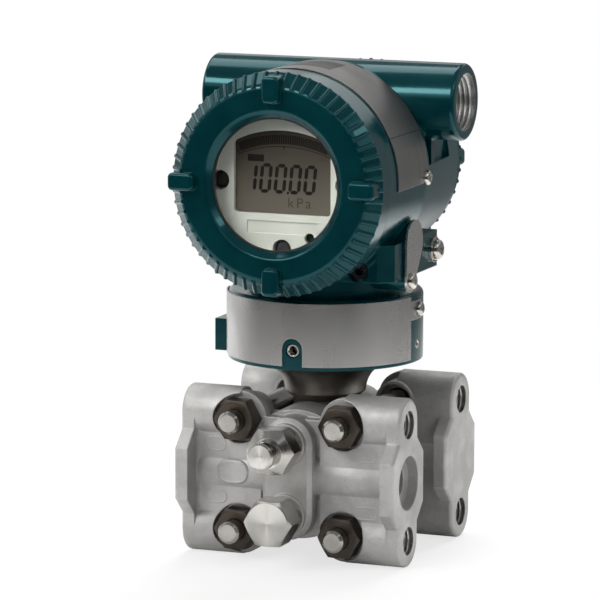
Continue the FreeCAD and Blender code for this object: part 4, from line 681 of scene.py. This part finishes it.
def grow(name, start, tree, settings, body):
    """Run a geometry tree on a start mesh and keep its result as a plain mesh piece."""
    holder = bpy.data.objects.new(name + "_start", start)
    scene.collection.objects.link(holder)
    modifier = holder.modifiers.new("growth", "NODES")
    modifier.node_group = tree
    for item in tree.interface.items_tree:
        if item.in_out == "INPUT" and item.name in settings:
            modifier[item.identifier] = settings[item.name]
    graph = bpy.context.evaluated_depsgraph_get()
    mesh = bpy.data.meshes.new_from_object(holder.evaluated_get(graph))
    mesh.name = name
    holder.modifiers.remove(modifier)
    bpy.data.objects.remove(holder)
    return show(name, mesh, body)


# Threads in the open conduit entry and in the tapped flange holes

THREADS = make_thread_tree()
CONDUIT_RADIUS = 10.3 * MM
CONDUIT_LENGTH = 18 * MM
CONDUIT_PITCH = 1.81 * MM
TAP_RADIUS = 4.95 * MM
TAP_LENGTH = 13 * MM
TAP_PITCH = 1.27 * MM
TAP_HALF = 41.3 / 2 * MM
FLANGE_HALF_PITCH = 27 * MM
MOUTH_SETBACK = 0.9 * MM
WALL_GAP = 0.03 * MM
WALL_SETBACK = 0.02 * MM
LINING_STEPS = 64

# Size of a thread ridge as a share of the pitch, and how far its middle stands in, as a share of the ridge
RIDGE_SHARE = 0.42
RIDGE_SINK = 0.35


def thread_settings(radius, reach, pitch):
    ridge = pitch * RIDGE_SHARE
    return {"Radius": radius - ridge * RIDGE_SINK, "Length": reach - MOUTH_SETBACK, "Pitch": pitch,
            "Ridge": ridge, "Material": BARE}


def lining(name, radius, reach, mouth, body, material):
    """Metal wall of a threaded hole, a hair inside the hole."""
    shape = bmesh.new()
    rings = []
    for back_by in (reach, WALL_SETBACK):
        centre = mouth - Vector((back_by, 0, 0))
        rings.append(ring_corners(shape, centre, Vector((0, 1, 0)), radius - WALL_GAP, LINING_STEPS))
    strip_faces(shape, rings)
    return keep_shape(name, shape, material, body)


conduit_mount = next(m for m in frame["record"]["mounts"] if m["name"] == "conduit_entry")
conduit_mouth = Vector((BARREL_END_X, conduit_mount["pos_m"][1], conduit_mount["pos_m"][2]))
lining("conduit_wall", CONDUIT_RADIUS, CONDUIT_LENGTH, conduit_mouth, "housing", BARE)
conduit_start = [conduit_mouth - Vector((CONDUIT_LENGTH, 0, 0))]
grow("conduit_thread", point_mesh("conduit_spot", conduit_start), THREADS,
     thread_settings(CONDUIT_RADIUS, CONDUIT_LENGTH, CONDUIT_PITCH), "housing")

tap_mouths = [Vector((FLANGE_END_X, AXIS_Y + FLANGE_HALF_PITCH * side, FLANGE_Z + TAP_HALF * row))
              for side in (-1, 1) for row in (-1, 1)]
# Tap walls in the darker bore metal: painted shade behind the brighter threads
for number, mouth in enumerate(tap_mouths):
    lining(f"tap_wall_{number}", TAP_RADIUS, TAP_LENGTH, mouth, "process_end", SHADED_BORE_METAL)
tap_starts = [mouth - Vector((TAP_LENGTH, 0, 0)) for mouth in tap_mouths]
grow("tap_threads", point_mesh("tap_spots", tap_starts), THREADS,
     thread_settings(TAP_RADIUS, TAP_LENGTH, TAP_PITCH), "process_end")


# Blank raised ovals on the front casting: x, z, width and height in millimetres

WEB_FACE_Y = AXIS_Y - 33.6 * MM
RIB_FRONT_Y = AXIS_Y - 35.0 * MM
WEB_OVALS = [
    (-28.1, 40.05, 7.4, 4.6),
    (-28.0, 21.2, 7.6, 4.4),
    (27.3, 39.65, 10.0, 4.3),
    (28.5, 19.2, 8.6, 4.3),
]
RIB_OVAL = (-21.3, 30.6, 12.2, 8.6)

# Section of the bead: out from the oval's line, and up from the face
OVAL_BEAD = [(-0.32, 0.0), (-0.2, 0.17), (0.0, 0.24), (0.2, 0.17), (0.32, 0.0)]
PAD_PROUD = 0.25
PAD_BEVEL = 0.35
PAD_ROOT = 1.6
PAD_MARGIN = 1.5


def stadium(wide, high, inset=0.0):
    """Points and outward directions round an oval with straight sides, in millimetres."""
    steps = 14
    radius = high / 2
    points = []
    for side in (1, -1):
        for i in range(steps + 1):
            angle = math.pi * (i / steps - 0.5) + (0 if side > 0 else math.pi)
            out = (math.cos(angle), math.sin(angle))
            centre = side * (wide / 2 - radius)
            points.append((centre + out[0] * (radius - inset), out[1] * (radius - inset), *out))
    return points


def oval_bead(shape, x, z, wide, high, face_y):
    """Half-round bead along an oval."""
    rows = []
    for out, rise in OVAL_BEAD:
        rows.append([shape.verts.new(((x + u + out * du) * MM, face_y - rise * MM, (z + w + out * dw) * MM))
                     for u, w, du, dw in stadium(wide, high)])
    strip_faces(shape, rows)


def oval_pad(shape, x, z, wide, high, face_y):
    """Flat oval pad with a bevelled edge."""
    rows = []
    for inset, back in ((0.0, PAD_ROOT), (0.0, PAD_BEVEL), (PAD_BEVEL, 0.0)):
        rows.append([shape.verts.new(((x + u) * MM, face_y + back * MM, (z + w) * MM))
                     for u, w, du, dw in stadium(wide, high, inset)])
    strip_faces(shape, rows)
    shape.faces.new(rows[-1])


def cast_ovals():
    shape = bmesh.new()
    for x, z, wide, high in WEB_OVALS:
        oval_bead(shape, x, z, wide, high, WEB_FACE_Y)
    x, z, wide, high = RIB_OVAL
    pad_face_y = RIB_FRONT_Y - PAD_PROUD * MM
    oval_pad(shape, x, z, wide, high, pad_face_y)
    oval_bead(shape, x, z, wide - PAD_MARGIN, high - PAD_MARGIN, pad_face_y)
    bmesh.ops.recalc_face_normals(shape, faces=shape.faces)
    piece = keep_shape("cast_ovals", shape, CAST, "process_end")
    smooth_by_angle(piece.data, SOFT_ANGLE)


cast_ovals()


# Bright collars in the set screw holes and round the spare hole of the swivel ring

RING_RADIUS = 34.7 * MM
SET_SCREW_X = 1.15 * MM
SET_SCREW_Z = 75.2 * MM
SET_COLLAR = (1.45 * MM, 2.45 * MM)
SET_COLLAR_BACK = 0.5 * MM
SPARE_HOLE_Z = 74.4 * MM
SPARE_COLLAR = (0.9 * MM, 1.7 * MM)
SPARE_COLLAR_PROUD = 0.05 * MM
COLLAR_BEVEL = 0.25 * MM
COLLAR_DEEP = 3.0 * MM
COLLAR_STEPS = 36


def collar(shape, centre, out, inner, outer):
    """Bevelled ring whose front is at the centre and looks along out, which is level."""
    side = Vector((-out.y, out.x, 0))
    outline = [
        (inner, COLLAR_DEEP), (inner, COLLAR_BEVEL), (inner + COLLAR_BEVEL, 0.0),
        (outer - COLLAR_BEVEL, 0.0), (outer, COLLAR_BEVEL), (outer, COLLAR_DEEP),
    ]
    rows = [ring_corners(shape, centre - out * back_by, side, radius, COLLAR_STEPS)
            for radius, back_by in outline]
    strip_faces(shape, rows + rows[:1])


def hole_collars():
    shape = bmesh.new()
    face_y = RING_RADIUS - SET_COLLAR_BACK
    for front in (1, -1):
        centre = Vector((SET_SCREW_X * front, AXIS_Y - face_y * front, SET_SCREW_Z))
        collar(shape, centre, Vector((0, -front, 0)), *SET_COLLAR)
    centre = Vector((RING_RADIUS + SPARE_COLLAR_PROUD, AXIS_Y, SPARE_HOLE_Z))
    collar(shape, centre, Vector((1, 0, 0)), *SPARE_COLLAR)
    bmesh.ops.recalc_face_normals(shape, faces=shape.faces)
    piece = keep_shape("hole_collars", shape, PLATED, "housing")
    smooth_by_angle(piece.data, SOFT_ANGLE)


hole_collars()


# Cross-head screws that stand for the plain ones

# One slot of the cross, as shares of the head: length, width and height at its bottom and at its top
SLOT_BOTTOM = (0.5, 0.16, 0.35)
SLOT_TOP = (1.15, 0.22, 1.2)

# Turn of the first cross, and from one screw to the next, in radians
SPIN_FIRST = 0.5
SPIN_STEP = 1.3


def cross_head_screw():
    """One pan head of radius 1 and height 1 on a short shank, with a cross recess. Z points out."""
    side_steps = 40
    crown = [(1.0, 0.0), (1.0, 0.28), (0.97, 0.48), (0.90, 0.66), (0.79, 0.82), (0.64, 0.93), (0.42, 0.985),
             (0.0, 1.0)]
    shank = [(0.0, -1.2), (0.42, -1.2), (0.42, 0.0)]
    head = bpy.data.meshes.new("cross_head")
    shape = bmesh.new()
    outline = shank + crown
    columns = []
    for i in range(side_steps):
        angle = 2 * math.pi * i / side_steps
        columns.append([shape.verts.new((r * math.cos(angle), r * math.sin(angle), z)) for r, z in outline])
    for i in range(side_steps):
        near, far = columns[i], columns[(i + 1) % side_steps]
        for j in range(len(outline) - 1):
            shape.faces.new((near[j], far[j], far[j + 1], near[j + 1]))
    bmesh.ops.remove_doubles(shape, verts=shape.verts, dist=1e-5)
    bmesh.ops.dissolve_degenerate(shape, edges=shape.edges, dist=1e-6)
    bmesh.ops.recalc_face_normals(shape, faces=shape.faces)
    shape.to_mesh(head)
    shape.free()
    screw = bpy.data.objects.new("cross_head", head)
    scene.collection.objects.link(screw)
    for turn in (0, math.pi / 2):
        carve_slot(screw, turn)
    return screw


def carve_slot(screw, turn):
    """Cut one tapered slot of the cross recess."""
    cutter_mesh = bpy.data.meshes.new("slot_cutter")
    shape = bmesh.new()
    bmesh.ops.create_cube(shape, size=1.0)
    for corner in shape.verts:
        long, wide, height = SLOT_BOTTOM if corner.co.z < 0 else SLOT_TOP
        corner.co = (corner.co.x * long, corner.co.y * wide, height)
    bmesh.ops.rotate(shape, verts=shape.verts, matrix=Matrix.Rotation(turn, 3, "Z"))
    shape.to_mesh(cutter_mesh)
    shape.free()
    cutter = bpy.data.objects.new("slot_cutter", cutter_mesh)
    scene.collection.objects.link(cutter)
    cut = screw.modifiers.new("slot", "BOOLEAN")
    cut.operation = "DIFFERENCE"
    cut.solver = "EXACT"
    cut.object = cutter
    graph = bpy.context.evaluated_depsgraph_get()
    carved = bpy.data.meshes.new_from_object(screw.evaluated_get(graph))
    screw.modifiers.remove(cut)
    screw.data = carved
    bpy.data.objects.remove(cutter)


def head_place(node, side):
    """Outer end of a screw on the +X or -X side, its middle's y and z, and its head radius."""
    low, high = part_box(node)
    centre = (low + high) / 2
    radius = (high.z - low.z) / 2
    tip = high.x if side > 0 else low.x
    return tip, centre.y, centre.z, radius


# Cross-head screws of the housing: the node, the sides it has one on, and the height of the head
CROSS_HEADS = [
    ("name_band_screws", (1, -1), 1.7 * MM),
    ("data_band_screws", (1, -1), 1.7 * MM),
    ("ground_screw", (1,), 2.6 * MM),
    ("zero_cover_screw", (1,), 1.8 * MM),
]


def screw_rows():
    """Every cross-head screw on the housing: place, aim, head radius and height."""
    rows = []
    for node, sides, height in CROSS_HEADS:
        for side in sides:
            tip, y, z, radius = head_place(node, side)
            rows.append(((tip - side * height, y, z), (side, 0, 0), radius, height))
    return rows


def cross_head_screws():
    rows = screw_rows()
    start = point_mesh("screw_spots", [row[0] for row in rows])
    for name, kind in (("aim", "FLOAT_VECTOR"), ("spin", "FLOAT"), ("size", "FLOAT_VECTOR")):
        start.attributes.new(name, kind, "POINT")
    for i, (place, direction, radius, height) in enumerate(rows):
        start.attributes["aim"].data[i].vector = direction
        start.attributes["spin"].data[i].value = SPIN_FIRST + SPIN_STEP * i
        start.attributes["size"].data[i].vector = (radius, radius, height)
    source = cross_head_screw()
    piece = grow("cross_head_screws", start, make_screw_tree(), {"Screw": source, "Material": PLATED},
                 "housing")
    bpy.data.objects.remove(source)
    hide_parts("name_band_screws", "data_band_screws", "ground_screw", "zero_cover_screw")
    smooth_by_angle(piece.data, SCREW_ANGLE)
    return piece


cross_head_screws()


# Print on the display: five digits, the bar scale and small marks, and a painted shadow band at its top

PRINT_Y = PANEL_FACE_Y - 0.03 * MM
SHADE_Y = PANEL_FACE_Y - 0.015 * MM


def flat_piece(name, shapes, y, material):
    """Flat shapes in the display plane. Each is a list of (x, z) in millimetres from the body axis."""
    shape = bmesh.new()
    for outline in shapes:
        shape.faces.new([shape.verts.new((x * MM, y, BODY_Z + z * MM)) for x, z in outline])
    for face in shape.faces:
        face.normal_update()
        if face.normal.y > 0:
            face.normal_flip()
    return keep_shape(name, shape, material, "housing")


# Digits: cell width and height, stroke and gap, slant, pitch, the middle of the first cell, and the point
DIGIT_WIDE = 4.5
DIGIT_HIGH = 10.4
STROKE = 1.3
SEGMENT_GAP = 0.12
SLANT = 0.10
DIGIT_PITCH = 5.5
FIRST_DIGIT_X = -12.2
DIGIT_MID_Z = 1.2
POINT_WIDE = 0.8
POINT_HIGH = 0.85
LIT = {"0": "abcdef", "1": "bc"}


def rectangle(x0, z0, x1, z1):
    return [(x0, z0), (x1, z0), (x1, z1), (x0, z1)]


def segment(x0, z0, x1, z1):
    """Bar with pointed ends between two points, upright or level."""
    half = STROKE / 2
    if x0 == x1:
        low, high = min(z0, z1) + SEGMENT_GAP, max(z0, z1) - SEGMENT_GAP
        return [(x0, low), (x0 + half, low + half), (x0 + half, high - half),
                (x0, high), (x0 - half, high - half), (x0 - half, low + half)]
    low, high = min(x0, x1) + SEGMENT_GAP, max(x0, x1) - SEGMENT_GAP
    return [(low, z0), (low + half, z0 - half), (high - half, z0 - half),
            (high, z0), (high - half, z0 + half), (low + half, z0 + half)]


def digit_shapes(text):
    shapes = []
    x = FIRST_DIGIT_X
    right = DIGIT_WIDE / 2 - STROKE / 2
    top = DIGIT_HIGH / 2 - STROKE / 2
    for letter in text:
        if letter == ".":
            dot = x - DIGIT_PITCH / 2
            low = DIGIT_MID_Z - DIGIT_HIGH / 2
            shapes.append(rectangle(dot - POINT_WIDE / 2, low, dot + POINT_WIDE / 2, low + POINT_HIGH))
            continue
        ends = {
            "a": (x - right, top, x + right, top),
            "b": (x + right, 0, x + right, top),
            "c": (x + right, -top, x + right, 0),
            "d": (x - right, -top, x + right, -top),
            "e": (x - right, -top, x - right, 0),
            "f": (x - right, 0, x - right, top),
        }
        for side in LIT[letter]:
            shapes.append([(u + SLANT * w, w + DIGIT_MID_Z) for u, w in segment(*ends[side])])
        x += DIGIT_PITCH
    return shapes


def arc_band(half_width, low_mid, low_radius, high_mid, high_radius):
    """Field between two arcs that are centred on the body axis."""
    steps = 24
    low, high = [], []
    for i in range(steps + 1):
        x = half_width * (2 * i / steps - 1)
        low.append((x, low_mid - low_radius + math.sqrt(low_radius ** 2 - x ** 2)))
        high.append((x, high_mid - high_radius + math.sqrt(high_radius ** 2 - x ** 2)))
    return [[low[i], low[i + 1], high[i + 1], high[i]] for i in range(steps)]


# Fields in millimetres from the body axis. An arc band has its half width, and the height in the middle and
# the radius of its lower and of its upper arc. A tag has two corners.
SHADE_ARCS = (17.95, 13.0, 46.0, 18.15, 39.8)
SCALE_ARCS = (17.0, 12.3, 46.0, 12.55, 46.0)
TAG_CORNERS = (-13.4, 6.9, -7.4, 9.3)
POINTER = [(-0.35, 12.3), (0.35, 12.3), (0.0, 11.5)]

flat_piece("display_digits", digit_shapes("100.00"), PRINT_Y, SEGMENT_INK)
# The shade band is painted shadow that the bezel's rim casts on the display
flat_piece("display_shade", arc_band(*SHADE_ARCS), SHADE_Y, PAINTED_SHADOW_FILM)
flat_piece("display_scale_line", arc_band(*SCALE_ARCS), PRINT_Y, SEGMENT_INK)
flat_piece("display_tag", [rectangle(*TAG_CORNERS)], PRINT_Y, SEGMENT_INK)
flat_piece("display_pointer", [POINTER], PRINT_Y, SEGMENT_INK)

# Bar scale: count, arc and bars, in millimetres
BAR_COUNT = 41
BAR_RADIUS = 43.0
BAR_MID_Z = 14.9
BAR_SWEEP = math.radians(44)
BAR_WIDE = 0.6
BAR_HIGH = 3.1
bars = grow("display_bars", point_mesh("bar_start", [(0, 0, 0)]), make_bar_tree(), {
    "Count": BAR_COUNT, "Radius": BAR_RADIUS * MM, "Sweep": BAR_SWEEP, "Width": BAR_WIDE * MM,
    "Height": BAR_HIGH * MM, "Material": SEGMENT_INK}, "housing")
for corner in bars.data.vertices:
    corner.co += Vector((0, PRINT_Y, BODY_Z + (BAR_MID_Z - BAR_RADIUS) * MM))


def display_words(name, words, x, z, high, spacing, material):
    """Small generic figures on the display, their lower middle at x, z."""
    letters = bpy.data.curves.new(name, "FONT")
    letters.body = words
    letters.size = high * MM
    letters.space_character = spacing
    letters.align_x = "CENTER"
    holder = bpy.data.objects.new(name + "_letters", letters)
    scene.collection.objects.link(holder)
    graph = bpy.context.evaluated_depsgraph_get()
    mesh = bpy.data.meshes.new_from_object(holder.evaluated_get(graph))
    bpy.data.objects.remove(holder)
    stand = Matrix.Rotation(math.pi / 2, 4, "X")
    mesh.transform(Matrix.Translation((x * MM, PRINT_Y, BODY_Z + z * MM)) @ stand)
    mesh.materials.clear()
    mesh.materials.append(material)
    return show(name, mesh, "housing")


# Small figures: piece, words, x, z and height in millimetres, and spacing
SMALL_FIGURES = [
    ("display_unit", "kPa", 5.8, -8.6, 5.0, 1.35),
    ("display_scale_low", "0", -15.0, 8.2, 1.9, 1.0),
    ("display_scale_mid", "50", 0.1, 9.6, 1.9, 1.0),
    ("display_scale_high", "100", 14.0, 7.9, 1.9, 1.0),
]
for figures in SMALL_FIGURES:
    display_words(*figures, FAINT_INK)


# Camera at the photograph's place

VIEW_AZIMUTH = math.radians(21.75)
VIEW_HEIGHT = math.radians(9.211)
VIEW_ROLL = math.radians(0.125)
VIEW_DISTANCE = 1.5367
VIEW_LENS = 258.8
AIM = Vector((-9.865 * MM, AXIS_Y, 87.323 * MM))

camera_data = bpy.data.cameras.new("camera")
camera_data.lens = VIEW_LENS
camera_data.sensor_width = 36
camera_data.clip_start = 0.05
camera_data.clip_end = 50
camera = bpy.data.objects.new("camera", camera_data)
scene.collection.objects.link(camera)
level = math.cos(VIEW_HEIGHT)
back = Vector((math.sin(VIEW_AZIMUTH) * level, -math.cos(VIEW_AZIMUTH) * level, math.sin(VIEW_HEIGHT)))
camera.matrix_world = (Matrix.Translation(AIM + back * VIEW_DISTANCE)
                       @ (-back).to_track_quat("-Z", "Y").to_matrix().to_4x4()
                       @ Matrix.Rotation(VIEW_ROLL, 4, "Z"))
scene.camera = camera


# Studio: white floor and background, soft boxes, and a screen and ceiling for paint and metal to mirror

SET_MIDDLE = Vector((0, 0, 0.09))
WORLD_FILL = 0.06

# Floor: its size, and the radii between which its shadow fades out, in metres, and its glow at the object
FLOOR_SIZE = 12
SHADOW_NEAR = 0.10
SHADOW_FAR = 0.40
FLOOR_GLOW = 0.72

# Grey ceiling: its size and height in metres, and its shade
CEILING_SIZE = 5.0
CEILING_Z = 1.5
CEILING_SHADE = 0.25

# Screen: radius and height, and the heights and softness of its dark part, in metres
WALL_RADIUS = 0.34
WALL_HIGH = 0.34
WALL_LOW = 0.02
WALL_TOP = 0.272
WALL_SOFT = 0.02

# Screen: angles from the front to its ends and to its grey part, the fade, and the shades
WALL_LEFT = math.radians(-95)
WALL_RIGHT = math.radians(225)
WALL_TURN = math.radians(85)
WALL_FADE = math.radians(38)
WALL_BEHIND = 0.8
WALL_SHADE = 0.03

# Lamps: place, width and height in metres, and power in watts
LAMPS = {
    "left_box": ((-1.10, -0.75, 0.85), 0.7, 0.7, 6.5),
    "top_box": ((-0.40, 0.35, 1.15), 1.2, 0.42, 4.5),
    "right_box": ((1.15, -0.40, 0.65), 0.5, 0.9, 5),
    "front_shine": ((-0.62, -1.25, 1.10), 1.0, 0.40, 13),
    "back_fill": ((0.0, 0.80, 1.25), 0.8, 0.8, 20),
    "sky_fill": ((0.0, 0.0, 1.4), 1.2, 1.2, 4),
    "front_fill": ((-0.62, -1.25, 1.05), 0.8, 0.8, 12),
}


def soft_box(name, place, width, height, power):
    lamp = bpy.data.lights.new(name, "AREA")
    lamp.shape = "RECTANGLE"
    lamp.size = width
    lamp.size_y = height
    lamp.energy = power
    box = bpy.data.objects.new(name, lamp)
    scene.collection.objects.link(box)
    box.location = place
    box.rotation_euler = (SET_MIDDLE - Vector(place)).to_track_quat("-Z", "Y").to_euler()
    return box


def stage_piece(name, corners, faces):
    mesh = bpy.data.meshes.new(name)
    mesh.from_pydata(corners, [], faces)
    made = bpy.data.objects.new(name, mesh)
    scene.collection.objects.link(made)
    return made


def plane(name, size, z):
    half = size / 2
    corners = [(-half, -half, z), (half, -half, z), (half, half, z), (-half, half, z)]
    return stage_piece(name, corners, [(0, 1, 2, 3)])


def white_floor():
    """Pale floor that keeps a soft shadow and meets a white background."""
    floor = plane("floor", FLOOR_SIZE, 0.0)
    material, tree, shader = new_finish("floor_paper", Roughness=0.8, Base_Color=(0.85, 0.85, 0.85, 1))
    glow = add(tree, "ShaderNodeEmission", None, Color=(1, 1, 1, 1), Strength=1.0)
    path = add(tree, "ShaderNodeLightPath")
    x, y, z = split(tree, add(tree, "ShaderNodeTexCoord").outputs["Object"])
    clear = remap(tree, length(tree, x, y), SHADOW_NEAR, SHADOW_FAR, FLOOR_GLOW, 1.0)
    mix_surface(tree, times(tree, path.outputs["Is Camera Ray"], clear), glow.outputs[0])
    floor.data.materials.append(material)


def white_world():
    """Faint even light, and white where the camera, metal or glass sees it."""
    world = bpy.data.worlds.new("studio")
    world.use_nodes = True
    tree = world.node_tree
    path = add(tree, "ShaderNodeLightPath")
    sight = calc(tree, "MAXIMUM", path.outputs["Is Camera Ray"], path.outputs["Is Glossy Ray"])
    sight = calc(tree, "MAXIMUM", sight, path.outputs["Is Transmission Ray"])
    feed(tree, tree.nodes["Background"].inputs["Color"], (1, 1, 1, 1))
    feed(tree, tree.nodes["Background"].inputs["Strength"], remap(tree, sight, 0.0, 1.0, WORLD_FILL, 1.0))
    scene.world = world


def grey(shade):
    return shade, shade, shade, 1


def new_glow(name):
    """Glowing material, its tree and its colour input."""
    material = bpy.data.materials.new(name)
    material.use_nodes = True
    tree = material.node_tree
    tree.nodes.remove(tree.nodes["Principled BSDF"])
    glow = add(tree, "ShaderNodeEmission", None, Strength=1.0)
    feed(tree, tree.nodes["Material Output"].inputs["Surface"], glow.outputs[0])
    return material, tree, glow.inputs["Color"]


def only_mirrored(piece, material):
    """Give a screen its material, and hide it from all but reflections."""
    piece.data.materials.append(material)
    piece.visible_camera = False
    piece.visible_diffuse = False
    piece.visible_shadow = False


def dark_wall():
    """Curved screen round the set, dark in front and grey behind, with ends that fade to white."""
    steps = 48
    corners, faces = [], []
    for i in range(steps + 1):
        angle = WALL_LEFT + (WALL_RIGHT - WALL_LEFT) * i / steps
        for z in (0.0, WALL_HIGH):
            corners.append((WALL_RADIUS * math.sin(angle), -WALL_RADIUS * math.cos(angle), z))
    for i in range(steps):
        faces.append((2 * i, 2 * i + 2, 2 * i + 3, 2 * i + 1))
    wall = stage_piece("dark_wall", corners, faces)
    material, tree, colour = new_glow("dark_wall_felt")
    x, y, z = split(tree, add(tree, "ShaderNodeTexCoord").outputs["Object"])
    mid = (WALL_LEFT + WALL_RIGHT) / 2
    ahead = minus(tree, times(tree, x, math.sin(mid)), times(tree, y, math.cos(mid)))
    aside = plus(tree, times(tree, x, math.cos(mid)), times(tree, y, math.sin(mid)))
    angle = plus(tree, calc(tree, "ARCTAN2", aside, ahead), mid)
    left = remap(tree, angle, WALL_LEFT, WALL_LEFT + WALL_FADE)
    right = remap(tree, angle, WALL_RIGHT - WALL_FADE, WALL_RIGHT, 1.0, 0.0)
    behind = remap(tree, angle, WALL_TURN - WALL_FADE, WALL_TURN, 1.0, WALL_BEHIND)
    high = inside(tree, z, WALL_LOW, WALL_TOP, WALL_SOFT)
    dark = times(tree, times(tree, left, right), times(tree, behind, high))
    feed(tree, colour, blend_colour(tree, dark, grey(1), grey(WALL_SHADE)))
    only_mirrored(wall, material)


def dark_ceiling():
    """Grey ceiling above the lamps."""
    material, tree, colour = new_glow("ceiling_felt")
    feed(tree, colour, grey(CEILING_SHADE))
    only_mirrored(plane("dark_ceiling", CEILING_SIZE, CEILING_Z), material)


white_floor()
white_world()
dark_wall()
dark_ceiling()
lamps = {name: soft_box(name, *values) for name, values in LAMPS.items()}
# A lamp that only makes highlights, and fills that make none
lamps["front_shine"].visible_diffuse = False
lamps["front_shine"].visible_transmission = False
for name in ("back_fill", "sky_fill", "front_fill"):
    lamps[name].visible_glossy = False

scene.view_settings.view_transform = "Standard"
